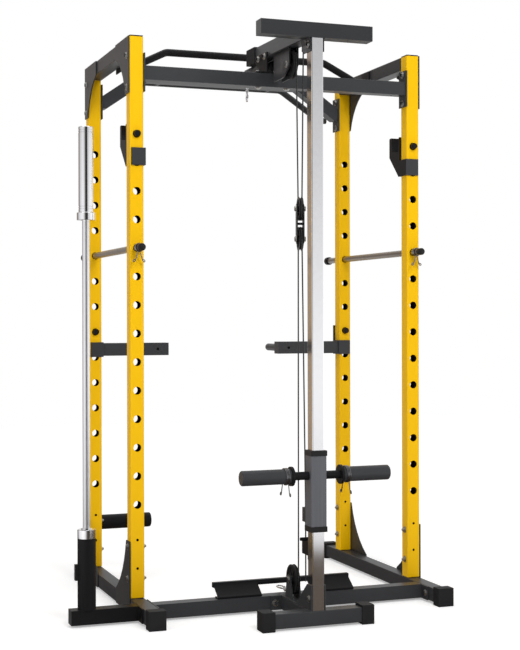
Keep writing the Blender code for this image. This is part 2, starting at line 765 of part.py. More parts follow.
def make_boom():
    """The top of the tower: a bar across the post and a boom back over the cage, with a
    pulley bracket under each end of the boom and a stud for the cable's fixed end."""
    half_bar = TOP_BAR_LENGTH / 2
    top_bar = block(around(TOWER_X, TOP_BAR_LENGTH), around(TOWER_Y, TUBE), around(TOP_BAR_Z, TUBE))
    bore = TUBE - 2 * TUBE_WALL
    slot = block((TOWER_X - half_bar + TUBE_WALL, TOWER_X + half_bar - TUBE_WALL),
                 around(TOWER_Y, bore), around(TOP_BAR_Z, bore))
    cut(top_bar, slot, drain(TOWER_X + 0.12, TOWER_Y, TOP_BAR_Z - HALF))

    tube = prism(boom_band(BOOM_START - 0.001, BOOM_END, 0, TUBE), "x", *around(TOWER_X, TUBE))
    hollow = prism(boom_band(BOOM_START + 0.004, BOOM_END + 0.01, TUBE_WALL, TUBE - TUBE_WALL),
                   "x", *around(TOWER_X, bore))
    cut(tube, hollow)

    half_gap = PULLEY_WIDTH / 2 + CHEEK_GAP
    y, z = REAR_PULLEY.y, REAR_PULLEY.z
    rear = cheek_plates(
        [(y - 0.027, boom_underside(y - 0.027) + 0.001), (y - 0.027, z - 0.005), (y - 0.010, z - 0.018),
         (y + 0.030, z - 0.041), (y + 0.125, z - 0.041), (y + 0.125, boom_underside(y + 0.125) + 0.001)],
        half_gap, PLATE,
    )
    y, z = FRONT_PULLEY.y, FRONT_PULLEY.z
    cap_start = BOOM_END - BOOM_CAP_LENGTH - GAP
    low_edge = boom_underside(cap_start) - CAP_WALL - 0.004
    front = cheek_plates(
        [(cap_start - 0.075, boom_underside(cap_start - 0.075) + 0.001), (cap_start - 0.075, z - 0.014),
         (y - 0.008, z - 0.016), (y + 0.008, z - 0.014), (y + 0.016, z - 0.004), (y + 0.016, z + 0.010),
         (y + 0.006, low_edge),
         (cap_start - 0.001, low_edge), (cap_start - 0.001, boom_underside(cap_start - 0.001) + 0.001)],
        half_gap, PLATE,
    )
    bar_bottom = TOP_BAR_Z - HALF
    head = cheek_plates(
        [(TOWER_Y - 0.022, bar_bottom + 0.001), (TOWER_Y - 0.022, bar_bottom - 0.046),
         (TOWER_Y + 0.040, bar_bottom - 0.046), (TOWER_Y + 0.066, bar_bottom - 0.004),
         (TOWER_Y + 0.066, boom_underside(TOWER_Y + 0.066) + 0.001), (BOOM_START, BOOM_FOOT_Z + 0.001)],
        POST / 2 + GAP, GUSSET_PLATE - 0.001,
    )
    stud = rod((TOWER_X, CABLE_ANCHOR_Y, boom_underside(CABLE_ANCHOR_Y) + 0.001),
               (TOWER_X, CABLE_ANCHOR_Y, ANCHOR_Z), 0.011, 12)
    parts = [*rear, *front, *head, stud]
    parts += [axle(REAR_PULLEY, half_gap + PLATE), axle(FRONT_PULLEY, half_gap + PLATE)]
    for sign in (-1, 1):
        face = TOWER_X + sign * (POST / 2 + GAP + GUSSET_PLATE - 0.001)
        parts.append(bolt_head((face, TOWER_Y, bar_bottom - 0.020), (sign, 0, 0)))
    finish("boom", joined(top_bar, tube, *parts), "charcoal")

    outside = boom_band(BOOM_END - BOOM_CAP_LENGTH, BOOM_END + CAP_WALL, -CAP_WALL, TUBE + CAP_WALL)
    inside = boom_band(BOOM_END - BOOM_CAP_LENGTH - 0.01, BOOM_END + GAP, -GAP, TUBE + GAP)
    cap = prism(outside, "x", *around(TOWER_X, TUBE + 2 * CAP_WALL))
    finish("boom_end_cap", cut(cap, prism(inside, "x", *around(TOWER_X, TUBE + 2 * GAP))), "rubber")


def make_saddle():
    """A bracket that stands on the near beam and holds the boom between its side plates."""
    beam_top = BEAM_Z + HALF + GAP
    near_y, far_y = NEAR_Y - HALF, NEAR_Y + HALF
    floor = block(around(TOWER_X, SADDLE_WIDTH), (near_y + 0.001, far_y - 0.001), (beam_top, beam_top + PLATE))
    outline = [
        (near_y + 0.001, beam_top + 0.001), (far_y - 0.001, beam_top + 0.001),
        (far_y + SADDLE_REACH, boom_underside(far_y) - 0.010),
        (far_y + SADDLE_REACH, boom_underside(far_y) + 0.014), (near_y + 0.001, boom_underside(near_y) + 0.014),
    ]
    sides = cheek_plates(outline, HALF + GAP, PLATE)
    heads = []
    for sign in (-1, 1):
        place = (TOWER_X + sign * SADDLE_BOLT_OFFSET, NEAR_Y, beam_top + PLATE)
        heads.append(bolt_head(place, (0, 0, 1)))
        face = TOWER_X + sign * (HALF + GAP + PLATE)
        for y in (NEAR_Y, far_y + 0.040):
            heads.append(bolt_head((face, y, boom_underside(y) + 0.001), (sign, 0, 0)))
    finish("boom_saddle", joined(floor, *sides, *heads), "charcoal")


# Pulleys, block and cable

def pulley(name, centre, diameter, width, bore, twist=0.0):
    """A grooved wheel that turns about x, or about x turned by the twist."""
    radius, half = diameter / 2, width / 2
    groove = radius - GROOVE_DEPTH
    profile = [
        (0, bore / 2 + 0.007), (0.002, radius - 0.014), (half - 0.0065, radius - 0.004),
        (half - 0.0050, radius), (half - 0.0018, groove), (half + 0.0018, groove), (half + 0.0050, radius),
        (half + 0.0065, radius - 0.004), (width - 0.002, radius - 0.014), (width, bore / 2 + 0.007),
    ]
    axis = Matrix.Rotation(twist, 3, "Z") @ Vector((1, 0, 0))
    wheel = turned(profile, centre - axis * half, axis, 20)
    cut(wheel, rod(centre - axis * width, centre + axis * width, bore, 12))
    on_axis(finish(name, wheel, "plastic", smooth=True), centre)


def make_pulleys():
    bore = AXLE_DIA + 2 * PULLEY_BORE_GAP
    low = BLOCK_TOP_PULLEY - Vector((0, 0, BLOCK_PULLEY_SPACING))
    pulley("rear_pulley", REAR_PULLEY, PULLEY_DIA, PULLEY_WIDTH, bore)
    pulley("front_pulley", FRONT_PULLEY, FRONT_PULLEY_DIA, PULLEY_WIDTH, bore)
    pulley("low_pulley", LOW_PULLEY, PULLEY_DIA, PULLEY_WIDTH, bore)
    pulley("block_pulley_upper", BLOCK_TOP_PULLEY, BLOCK_PULLEY_DIA, BLOCK_PULLEY_WIDTH, bore, BLOCK_TWIST)
    pulley("block_pulley_lower", low, BLOCK_PULLEY_DIA, BLOCK_PULLEY_WIDTH, bore, BLOCK_TWIST)


def make_block():
    """The floating block: two side plates with a pulley bolt at each end and a tie between."""
    low_z = -BLOCK_PULLEY_SPACING
    half = BLOCK_PULLEY_WIDTH / 2 + 0.0012
    outline = []
    for centre, first in ((0, 0), (low_z, 180)):
        for step in range(7):
            angle = math.radians(first + 30 * step)
            outline.append((0.017 * math.cos(angle), centre + 0.017 * math.sin(angle)))
    plates = [
        prism(outline, "x", *sorted((sign * half, sign * (half + BLOCK_PLATE)))) for sign in (-1, 1)
    ]
    tie = block((-half - 0.001, half + 0.001), around(0, 0.010), around(low_z / 2, 0.008))
    bolts = [axle(Vector((0, 0, z)), half + BLOCK_PLATE) for z in (0, low_z)]
    frame = joined(plates[0], plates[1], tie, *bolts)
    turn = Matrix.Rotation(BLOCK_TWIST, 4, "Z")
    frame.data.transform(Matrix.Translation(BLOCK_TOP_PULLEY) @ turn)
    on_axis(finish("block_frame", frame, "charcoal"), BLOCK_TOP_PULLEY)


def wrap_points(centre, radius, start, end, twist=0.0, steps=8):
    """Points round a pulley, with angles from +y towards +z, in a plane turned by the twist."""
    points = []
    for step in range(steps + 1):
        angle = math.radians(start + (end - start) * step / steps)
        spoke = Vector((0, radius * math.cos(angle), radius * math.sin(angle)))
        points.append(centre + Matrix.Rotation(twist, 3, "Z") @ spoke)
    return points


def tube_node(name, runs, radius, detail, finish_name):
    """One node of round wire or cable. Each run is a list of points on its middle line."""
    curve = bpy.data.curves.new(name, "CURVE")
    curve.dimensions = "3D"
    curve.bevel_depth = radius
    curve.bevel_resolution = detail
    curve.use_fill_caps = True
    for points in runs:
        spline = curve.splines.new("POLY")
        spline.points.add(len(points) - 1)
        for slot, point in zip(spline.points, points):
            slot.co = (*point, 1.0)
    obj = bpy.data.objects.new(name, curve)
    bpy.context.scene.collection.objects.link(obj)
    curve.materials.append(make_material(f"{name}_{finish_name}", *FINISHES[finish_name]))
    obj.parent = RACK
    PIECES.append(obj)
    return obj


def cable(name, *runs):
    return tube_node(name, runs, CABLE_R, 2, "cable")


def groove_radius(diameter):
    """The radius of the cable's middle in a pulley's groove."""
    return diameter / 2 + CABLE_SEAT


def make_cables():
    """The cable's runs. Each straight one is its own piece, because it lengthens as the
    weights move, and so is each one that lies round pulleys."""
    joint = Vector((0, 0, GAP))
    lead = Vector((0, 0, CABLE_LEAD))
    big, small = groove_radius(PULLEY_DIA), groove_radius(BLOCK_PULLEY_DIA)
    low_block = BLOCK_TOP_PULLEY - Vector((0, 0, BLOCK_PULLEY_SPACING))

    over = wrap_points(REAR_PULLEY, big, 180, 90)
    over += wrap_points(FRONT_PULLEY, groove_radius(FRONT_PULLEY_DIA), 90, 0)
    over = [over[0] - lead, *over, over[-1] - lead]
    cable("cable_over_boom", over)
    upper = wrap_points(BLOCK_TOP_PULLEY, small, 180, 360, BLOCK_TWIST, 10)
    upper = [upper[0] + lead, *upper, upper[-1] + lead]
    on_axis_curve(cable("cable_under_block_pulley", upper), BLOCK_TOP_PULLEY)
    lower = wrap_points(low_block, small, 180, 0, BLOCK_TWIST, 10)
    lower = [lower[0] - lead, *lower, lower[-1] - lead]
    on_axis_curve(cable("cable_over_block_pulley", lower), BLOCK_TOP_PULLEY)

    anchor = Vector((TOWER_X, CABLE_ANCHOR_Y, ANCHOR_Z))
    clamp = Vector((TOWER_X, CABLE_CLAMP_Y, CABLE_CLAMP_Z + CABLE_CLAMP_HEIGHT / 2))
    low = wrap_points(LOW_PULLEY, big, 180, 270)
    run = low[-1] + Vector((0, ROW_RUN, 0))
    low = [low[0] + lead, *low, run]
    cable("cable_under_low_pulley", low)
    cable("cable_rear_pulley_to_block", [over[0] - joint, upper[-1] + joint])
    cable("cable_anchor_to_block", [anchor - joint, upper[0] + joint])
    cable("cable_block_to_carriage", [lower[0] - joint, clamp + joint])
    cable("cable_block_to_low_pulley", [lower[-1] - joint, low[0] + joint])

    end = over[-1] - Vector((0, 0, LAT_RUN))
    cable("cable_front_to_carabiner", [over[-1] - joint, end + joint])
    return end, run


def on_axis_curve(obj, point):
    obj.data.transform(Matrix.Translation(-Vector(point)))
    obj.location = point
    return obj


def carabiner(start, direction, across, length):
    """A ferrule on the cable's end, its eye and a snap hook hanging in the eye, along one line."""
    start, direction = Vector(start), Vector(direction).normalized()
    across = Vector(across).normalized()
    normal = direction.cross(across)
    unit = length / 110
    ferrule = turned(
        [(0, 0.0040), (0.002, 0.0050), (22 * unit, 0.0050), (24 * unit, 0.0040)], start, direction, 12,
    )
    eye = []
    centre = start + direction * (34 * unit)
    for step in range(10):
        angle = math.radians(180 + 15 + 330 * step / 9)
        eye.append(centre + direction * (11 * unit * math.cos(angle)) + across * (8 * unit * math.sin(angle)))
    loop = swept(eye, round_section(0.004, 6), normal)
    ring = []
    hook_half = (110 * unit - 0.00275 - 43 * unit) / 2 + 0.001
    middle = start + direction * (length - 0.00275 - hook_half)
    for step in range(18):
        angle = 2 * math.pi * step / 18
        wide = (12.5 + 2.5 * math.cos(angle)) * unit * math.sin(angle)
        ring.append(middle + direction * (hook_half * math.cos(angle)) + normal * wide)
    hook = closed_loop(ring, round_section(0.0055, 7), across)
    return joined(ferrule, loop, hook)


def closed_loop(points, section, normal):
    """A section carried round a closed flat path."""
    bm = bmesh.new()
    normal = Vector(normal).normalized()
    rings = []
    count = len(points)
    for index, point in enumerate(points):
        tangent = (points[(index + 1) % count] - points[index - 1]).normalized()
        side = normal.cross(tangent)
        rings.append([bm.verts.new(point + side * a + normal * b) for a, b in section])
    for index, low in enumerate(rings):
        high = rings[(index + 1) % count]
        for corner in range(len(section)):
            other = (corner + 1) % len(section)
            bm.faces.new((low[corner], low[other], high[other], high[corner]))
    return scratch(bm)


def make_cable_ends(end, run):
    top = carabiner(end, (0, 0, -1), (1, 0, 0), LAT_HOOK_LENGTH)
    on_axis(finish("lat_carabiner", top, "chrome", smooth=True), end)
    low = carabiner(run + Vector((0, GAP, 0)), (0, 1, 0), (0, 0, 1), ROW_HOOK_LENGTH)
    on_axis(finish("row_carabiner", low, "chrome", smooth=True), run)


# The weight carriage

def make_carriage():
    """The sleeve that rides on the post, with its two plate pegs and its cable clamp."""
    top = CARRIAGE_BOTTOM + CARRIAGE_HEIGHT
    low, high = CARRIAGE_BOTTOM + BUSH_LIP + GAP, top - BUSH_LIP - GAP
    half = CARRIAGE_TUBE / 2
    sleeve = block(around(TOWER_X, CARRIAGE_TUBE), around(TOWER_Y, CARRIAGE_TUBE), (low, high))
    neck = PEG_ROOT - half + 0.002
    length = PEG_END - half + 0.002
    profile = [
        (0, PEG_NECK_DIA / 2), (neck, PEG_NECK_DIA / 2), (neck, FLANGE_DIA / 2),
        (neck + FLANGE_WIDTH, FLANGE_DIA / 2), (neck + FLANGE_WIDTH, PEG_DIA / 2),
        (length - 0.003, PEG_DIA / 2), (length, PEG_DIA / 2 - 0.003),
    ]
    pegs = [
        turned(profile, (TOWER_X + sign * (half - 0.002), TOWER_Y, PEG_HEIGHT), (sign, 0, 0))
        for sign in (-1, 1)
    ]
    back = TOWER_Y + half
    clamp = block(around(TOWER_X, 0.018), (back - 0.001, CABLE_CLAMP_Y + 0.009),
                  around(CABLE_CLAMP_Z, CABLE_CLAMP_HEIGHT))
    joined(sleeve, *pegs, clamp)
    bore = CARRIAGE_TUBE - 2 * TUBE_WALL
    cut(sleeve, block(around(TOWER_X, bore), around(TOWER_Y, bore), (low - 0.01, high + 0.01)))
    joint = (TOWER_X, TOWER_Y, CARRIAGE_BOTTOM)
    on_axis(finish("carriage_sleeve", sleeve, "charcoal", smooth=True), joint)

    skirt = bore - 2 * GAP
    lip = CARRIAGE_TUBE + 0.003
    liner = joined(
        block(around(TOWER_X, lip), around(TOWER_Y, lip), (CARRIAGE_BOTTOM, CARRIAGE_BOTTOM + BUSH_LIP)),
        block(around(TOWER_X, skirt), around(TOWER_Y, skirt), (CARRIAGE_BOTTOM + 0.005, top - 0.005)),
        block(around(TOWER_X, lip), around(TOWER_Y, lip), (top - BUSH_LIP, top)),
    )
    hole = POST + 2 * SLIDE_GAP
    cut(liner, block(around(TOWER_X, hole), around(TOWER_Y, hole), (CARRIAGE_BOTTOM - 0.01, top + 0.01)))
    on_axis(finish("carriage_liner", liner, "plastic"), joint)

    tail_top = Vector((TOWER_X, CABLE_CLAMP_Y, CABLE_CLAMP_Z - CABLE_CLAMP_HEIGHT / 2 - GAP))
    on_axis_curve(cable("cable_tail", [tail_top, tail_top - Vector((0, 0, TAIL_LENGTH))]), joint)


def make_tail_guide():
    """A bracket on the back of the post that guides the cable's tail below the carriage."""
    back = TOWER_Y + POST / 2 + GAP
    plate = block(around(TOWER_X, 0.040), (back, back + PLATE), (0.223, 0.291))
    arm = block(around(TOWER_X, 0.020), (back + PLATE - 0.001, CABLE_CLAMP_Y + 0.010), (0.232, 0.282))
    pin = rod((TOWER_X - 0.032, CABLE_CLAMP_Y - 0.030, 0.287), (TOWER_X + 0.012, CABLE_CLAMP_Y - 0.030, 0.287),
              0.012, 12)
    bore = rod((TOWER_X, CABLE_CLAMP_Y, 0.20), (TOWER_X, CABLE_CLAMP_Y, 0.30), CABLE_DIA + 0.0024, 12)
    finish("tail_guide", cut(joined(plate, arm, pin), bore), "charcoal")


def spring_clip(centre, axis, inner_dia, wire, handle, coil_pitch, turns, points_per_turn=10):
    """A wire collar: a few turns round a bar, with both ends standing out as handles."""
    centre, axis = Vector(centre), Vector(axis).normalized()
    radius = (inner_dia / 2 + GAP + wire / 2) / math.cos(math.pi / points_per_turn)
    down = Vector((0, 0, -1))
    side = axis.cross(down).normalized()
    total = turns - 0.12
    count = int(turns * points_per_turn)
    spread = math.pi * 0.12
    path = []
    for step in range(count + 1):
        angle = spread + 2 * math.pi * total * step / count
        lift = coil_pitch * total * (step / count - 0.5)
        path.append(centre + axis * lift + (down * math.cos(angle) + side * math.sin(angle)) * radius)
    first, last = path[0], path[-1]
    out_first = (down * 1.0 + side * 0.30).normalized()
    out_last = (down * 1.0 - side * 0.30).normalized()
    lead = [first + out_first * handle, first + out_first * handle * 0.35]
    trail = [last + out_last * handle * 0.35, last + out_last * handle]
    return lead + path + trail


def least_gap(points, wire):
    """The least distance between two stretches of one wire that aren't neighbours."""
    fine = [a.lerp(b, step / 12) for a, b in zip(points, points[1:]) for step in range(12)]
    least = math.inf
    for first in range(len(fine)):
        for second in range(first + 72, len(fine)):
            least = min(least, (fine[first] - fine[second]).length)
    return least - wire


def clip_node(name, centre, axis, inner_dia, handle):
    points = spring_clip(centre, axis, inner_dia, CLIP_WIRE, handle, CLIP_WIRE * 1.35, CLIP_TURNS)
    obj = tube_node(name, [points], CLIP_WIRE / 2, 1, "chrome")
    on_axis_curve(obj, centre)
    print(name, "least gap to itself", round(least_gap(points, CLIP_WIRE) * 1000, 2), "mm")


def make_peg_clips():
    for side in ("left", "right"):
        sign = side_sign(side)
        x = TOWER_X + sign * (PEG_ROOT + 0.002 + FLANGE_WIDTH + 0.014)
        clip_node(f"peg_clip_{side}", (x, TOWER_Y, PEG_HEIGHT), (sign, 0, 0), PEG_DIA, 0.045)


# Pieces that hang in the uprights

def hanger_pin(x, start, end, z):
    """The pin that holds a hook or an arm in an upright, with a rounded near end."""
    radius = PIN_DIA / 2
    profile = [(0, radius - 0.004), (0.002, radius - 0.001), (0.005, radius), (end - start, radius)]
    return turned(profile, (x, start, z), (0, 1, 0), 14)


def make_hooks():
    """A J-hook's pin goes through a near upright from the far side. Its plate wraps the
    inner and near faces below the pin, and its seat and lip are on the far side."""
    z = hole_height(HOOK_HOLE)
    near_face, far_face = NEAR_Y - HALF, NEAR_Y + HALF
    low, high = around(z - HOOK_DROP, HOOK_NEAR_HEIGHT)
    near_skin = near_face - GAP - HOOK_PLATE
    for side in ("left", "right"):
        sign = side_sign(side)
        x = sign * SIDE_X
        inner, beyond = sign * (INNER_X - GAP), sign * (INNER_X - GAP - HOOK_PLATE)
        near = block(sorted((x + sign * (HALF - 0.005), beyond)), (near_skin, near_face - GAP), (low, high))
        cheek = block(sorted((inner, beyond)), (near_skin, far_face + 0.012), (low, high))
        outline = [
            (far_face + GAP, low), (far_face + 0.010, low), (far_face + HOOK_REACH, z - 0.032),
            (far_face + HOOK_REACH, z + 0.040), (far_face + HOOK_REACH - 0.004, z + 0.044),
            (far_face + HOOK_REACH - 0.018, z + 0.044), (far_face + HOOK_REACH - 0.024, z - 0.008),
            (far_face + 0.014, z - 0.016), (far_face + 0.008, z - 0.012), (far_face + 0.008, z + 0.036),
            (far_face + 0.004, z + 0.040), (far_face + GAP, z + 0.040),
        ]
        body = prism(outline, "x", *sorted((beyond, x + sign * HALF)))
        pin = hanger_pin(x, near_face - 0.019, far_face + 0.003, z)
        hook = joined(near, cheek, body, pin)
        on_axis(finish(f"bar_hook_{side}", hook, "charcoal", smooth=True), (x, near_face, z))


def make_safety_bars():
    """Each bar runs through a near and a far upright. It has a thick cap at its far end
    and a thin one at its near end, which still passes through the holes."""
    z = hole_height(SAFETY_HOLE)
    near = NEAR_Y - HALF - SAFETY_NEAR_REACH
    far = FAR_Y + HALF + SAFETY_FAR_REACH
    radius = SAFETY_DIA / 2
    for side in ("left", "right"):
        x = side_sign(side) * SIDE_X
        profile = [
            (0, radius - 0.003), (0.003, radius), (far - near - 0.026, radius),
            (far - near - 0.026, radius + 0.0045), (far - near - 0.003, radius + 0.0045),
            (far - near, radius + 0.0015),
        ]
        bar = turned(profile, (x, near, z), (0, 1, 0), 16)
        on_axis(finish(f"safety_bar_{side}", bar, "bar", smooth=True), (x, near, z))
        clip_y = NEAR_Y - HALF - 0.028
        clip_node(f"safety_clip_{side}", (x, clip_y, z), (0, 1, 0), SAFETY_DIA, 0.042)


def make_dip_arms():
    """A dip arm hangs on a pin in a far upright and points across the cage. Its bracket
    wraps the near, inner and far faces below the pin."""
    z = hole_height(DIP_HOLE)
    near_face, far_face = FAR_Y - HALF, FAR_Y + HALF
    near_skin, far_skin = near_face - GAP - HOOK_PLATE, far_face + GAP + HOOK_PLATE
    arm_z = z - DIP_DROP
    z_range = around(arm_z, 0.058)
    for side in ("left", "right"):
        sign = side_sign(side)
        x = sign * SIDE_X
        start = sign * (INNER_X - GAP)
        end = sign * (INNER_X - GAP - DIP_ARM_LENGTH)
        beyond = start - sign * HOOK_PLATE
        near = block(sorted((x + sign * (HALF - 0.005), beyond)), (near_skin, near_face - GAP), z_range)
        far = block(sorted((x + sign * (HALF - 0.005), beyond)), (far_face + GAP, far_skin),
                    (z_range[0], z + 0.022))
        cheek = block(sorted((start, beyond)), (near_skin, far_skin), z_range)
        arm = block(sorted((start - sign * 0.001, end)), around(FAR_Y, TUBE), around(arm_z, TUBE))
        pin = hanger_pin(x, near_face - 0.019, far_face + 0.003, z)
        handle_x = end + sign * (DIP_HANDLE_DIA / 2 + 0.004)
        handle = turned(
            [(0, DIP_HANDLE_DIA / 2), (DIP_HANDLE_LENGTH - 0.003, DIP_HANDLE_DIA / 2),
             (DIP_HANDLE_LENGTH, DIP_HANDLE_DIA / 2 - 0.003)],
            (handle_x, far_face - 0.002, arm_z), (0, 1, 0), 16,
        )
        holes = [
            rod((end + sign * offset, near_face - 0.01, arm_z), (end + sign * offset, near_face + 0.012, arm_z),
                0.012, 12)
            for offset in (0.045, 0.140)
        ]
        body = cut(joined(near, far, cheek, arm, pin, handle), *holes)
        on_axis(finish(f"dip_arm_{side}", body, "charcoal", smooth=True), (x, near_face, z))


def make_storage_peg():
    """A plate-storage peg on an angle bracket, bolted to the back of the far left upright."""
    z = STORAGE_HEIGHT
    back = FAR_Y + HALF + GAP
    y = back + PLATE + STORAGE_DIA / 2
    inner = -INNER_X
    radius = STORAGE_DIA / 2
    plate = block((-SIDE_X - STORAGE_PLATE_REACH, inner + PLATE), (back, back + PLATE),
                  around(z, STORAGE_PLATE_HEIGHT))
    side = block((inner, inner + PLATE), (back, back + PLATE + STORAGE_DIA), around(z, STORAGE_SIDE_HEIGHT))
    peg = turned(
        [(0, radius), (STORAGE_LENGTH - STORAGE_CHAMFER, radius), (STORAGE_LENGTH, radius - STORAGE_CHAMFER)],
        (inner + PLATE - 0.001, y + 0.001, z), (1, 0, 0),
    )
    finish("storage_peg", joined(plate, side, peg), "charcoal", smooth=True)


def make_foot_rest():
    """Two tread plates on a small bar, just above the cross-member, for rowing."""
    bar_z = RAIL_TOP + FOOT_REST_RISE
    bar = block(around(TOWER_X, FOOT_REST_LENGTH), around(CROSS_Y + FOOT_REST_OFFSET, FOOT_REST_BAR),
                (bar_z, bar_z + FOOT_REST_BAR))
    near, foot, far = CROSS_Y - TREAD_EDGE, CROSS_Y + TREAD_FOOT, CROSS_Y + TREAD_REACH
    parts = []
    for sign in (-1, 1):
        x_range = sorted((TOWER_X + sign * TREAD_INNER, TOWER_X + sign * TREAD_OUTER))
        outline = [
            (near, RAIL_TOP + GAP), (foot, RAIL_TOP + GAP), (foot, RAIL_TOP + TREAD_FOOT_PLATE),
            (near + PLATE, RAIL_TOP + TREAD_FOOT_PLATE), (far, RAIL_TOP + TREAD_RISE - PLATE),
            (far, RAIL_TOP + TREAD_RISE), (near, RAIL_TOP + TREAD_HEEL),
        ]
        parts.append(prism(outline, "x", *x_range))
    finish("foot_rest", joined(bar, *parts), "charcoal")


# The barbell

def make_barbell():
    x = -OUTER_X - GAP - HOLDER_RAIL_LENGTH + HOLDER_INSET
    y = CROSS_Y
    base = RAIL_TOP
    start = -OUTER_X - GAP
    end = start - HOLDER_RAIL_LENGTH
    rail = square_tube("x", end, start - PLATE / 2, CROSS_Y, RAIL_LIFT + HALF)
    plate = block((start - PLATE, start), around(CROSS_Y, CROSS_FLANGE), (RAIL_LIFT, RAIL_TOP))
    plug = block((end, end + PLATE), around(CROSS_Y, TUBE), (RAIL_LIFT, RAIL_TOP))
    tube = rod((x, y, base - 0.001), (x, y, base + HOLDER_HEIGHT), HOLDER_OUTER, 20)
    tab = block((x - HOLDER_OUTER / 2 - 0.010, x - HOLDER_OUTER / 2 + 0.003), around(y, 0.018),
                around(base + 0.125, 0.054))
    holder = joined(rail, plate, plug, tube, tab)
    bore = rod((x, y, base + PLATE), (x, y, base + HOLDER_HEIGHT + 0.01), HOLDER_BORE, 20)
    cut(holder, bore, drain(start - 0.03, CROSS_Y, RAIL_LIFT))
    finish("bar_holder", holder, "charcoal", smooth=True)

    sleeve_foot = base + PLATE + GAP
    foot = sleeve_foot + SLEEVE_END + GAP
    low_collar = base + HOLDER_HEIGHT + GAP
    shaft_start = low_collar + LOW_COLLAR_LENGTH
    shaft_end = shaft_start + BAR_SHAFT_LENGTH
    top_collar = shaft_end + TOP_COLLAR_LENGTH
    tip = top_collar + GAP + TOP_SLEEVE_LENGTH - SLEEVE_END - GAP
    radius, collar = BAR_DIA / 2, COLLAR_DIA / 2
    profile = [
        (z - foot, r) for z, r in (
            (foot, radius), (low_collar, radius), (low_collar, collar), (shaft_start, collar),
            (shaft_start, radius), (shaft_end, radius), (shaft_end, collar), (top_collar, collar),
            (top_collar, radius), (tip, radius),
        )
    ]
    shaft = turned(profile, (x, y, foot), (0, 0, 1))
    origin = (x, y, low_collar)
    on_axis(finish("barbell_shaft", shaft, "chrome", smooth=True), origin)
    top = rod((x, y, top_collar + GAP), (x, y, top_collar + GAP + TOP_SLEEVE_LENGTH), SLEEVE_DIA, 20)
    cut(top, rod((x, y, top_collar), (x, y, tip + GAP), SLEEVE_BORE))
    on_axis(finish("barbell_sleeve_top", top, "chrome", smooth=True), origin)
    low = rod((x, y, sleeve_foot), (x, y, low_collar - GAP), SLEEVE_DIA, 20)
    cut(low, rod((x, y, foot - GAP), (x, y, low_collar + 0.01), SLEEVE_BORE))
    on_axis(finish("barbell_sleeve_low", low, "chrome", smooth=True), origin)


def centre_on_footprint():
    """Put the origin under the middle of the rack."""
    bpy.context.view_layer.update()
    corners = []
    for piece in PIECES:
        corners += [piece.matrix_world @ Vector(corner) for corner in piece.bound_box]
    low = Vector(min(corner[axis] for corner in corners) for axis in range(3))
    high = Vector(max(corner[axis] for corner in corners) for axis in range(3))
    middle = (low + high) / 2
    RACK.location = (-middle.x, -middle.y, 0)
    print("size", [round(value, 4) for value in high - low], "origin moved by", [round(v, 5) for v in middle])


clear_scene()
PIECES = []
RACK = bpy.data.objects.new("rack_origin", None)
bpy.context.scene.collection.objects.link(RACK)

make_uprights()
make_floor_frame()
make_side_beams()
make_top_beams()
make_middle_bar()
make_tower_frame()
make_boom()
make_saddle()
make_pulleys()
make_block()
make_cable_ends(*make_cables())
make_carriage()
make_tail_guide()
make_peg_clips()
make_hooks()
make_safety_bars()
make_dip_arms()
make_storage_peg()
make_foot_rest()
make_barbell()
centre_on_footprint()
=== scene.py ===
# %% [markdown]
# A power rack is a cage of square steel tube: four drilled uprights on two floor rails,
# tied together at the top. In front of it stands a cable tower with a weight carriage.
# The frame that is loaded here has every piece at its real size. This script gives each
# one its rounded edges, its fine parts and its finish, and never moves anything.

# %% Load the frame
import math

import bpy
from mathutils import Matrix, Vector
from mathutils.bvhtree import BVHTree


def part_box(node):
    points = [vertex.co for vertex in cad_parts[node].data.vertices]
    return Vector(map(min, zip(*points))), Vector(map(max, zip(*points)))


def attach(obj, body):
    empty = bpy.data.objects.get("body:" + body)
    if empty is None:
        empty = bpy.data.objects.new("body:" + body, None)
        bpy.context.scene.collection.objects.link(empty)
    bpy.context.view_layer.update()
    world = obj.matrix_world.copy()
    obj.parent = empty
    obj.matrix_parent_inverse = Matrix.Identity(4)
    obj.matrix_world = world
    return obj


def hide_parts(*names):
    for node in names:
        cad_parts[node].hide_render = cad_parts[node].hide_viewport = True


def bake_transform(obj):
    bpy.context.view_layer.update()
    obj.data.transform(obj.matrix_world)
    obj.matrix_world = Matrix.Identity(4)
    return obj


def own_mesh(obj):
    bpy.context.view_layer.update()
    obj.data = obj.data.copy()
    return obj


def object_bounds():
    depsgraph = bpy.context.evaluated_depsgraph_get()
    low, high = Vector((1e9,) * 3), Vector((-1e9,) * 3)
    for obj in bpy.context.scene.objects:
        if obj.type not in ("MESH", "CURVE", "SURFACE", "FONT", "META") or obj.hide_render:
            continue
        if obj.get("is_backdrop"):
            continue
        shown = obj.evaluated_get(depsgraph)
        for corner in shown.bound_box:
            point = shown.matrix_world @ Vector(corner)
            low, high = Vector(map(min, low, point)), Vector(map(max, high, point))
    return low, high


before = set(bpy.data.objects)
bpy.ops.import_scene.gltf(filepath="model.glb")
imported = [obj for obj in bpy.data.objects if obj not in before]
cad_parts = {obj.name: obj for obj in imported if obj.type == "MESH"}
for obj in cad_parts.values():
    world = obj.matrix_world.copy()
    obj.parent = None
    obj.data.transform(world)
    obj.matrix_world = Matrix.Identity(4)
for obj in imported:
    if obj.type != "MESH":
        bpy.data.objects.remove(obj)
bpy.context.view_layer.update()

# %% [markdown]
# The camera stands where the photographer stood: to the left of the tower, about a
# metre above the floor, level, with a fairly long lens. A level camera keeps upright
# lines parallel, and a small vertical shift moves the picture without tilting it.

# %% Camera
PICTURE_LONG_SIDE = 650
FOCAL_PIXELS = 1342.8
SHIFT_PIXELS = -7.06
SENSOR = 36.0
CAMERA_PLACE = (-1.6365, -4.7722, 1.040)
CAMERA_YAW = math.radians(20.11)
CAMERA_ROLL = -0.00234


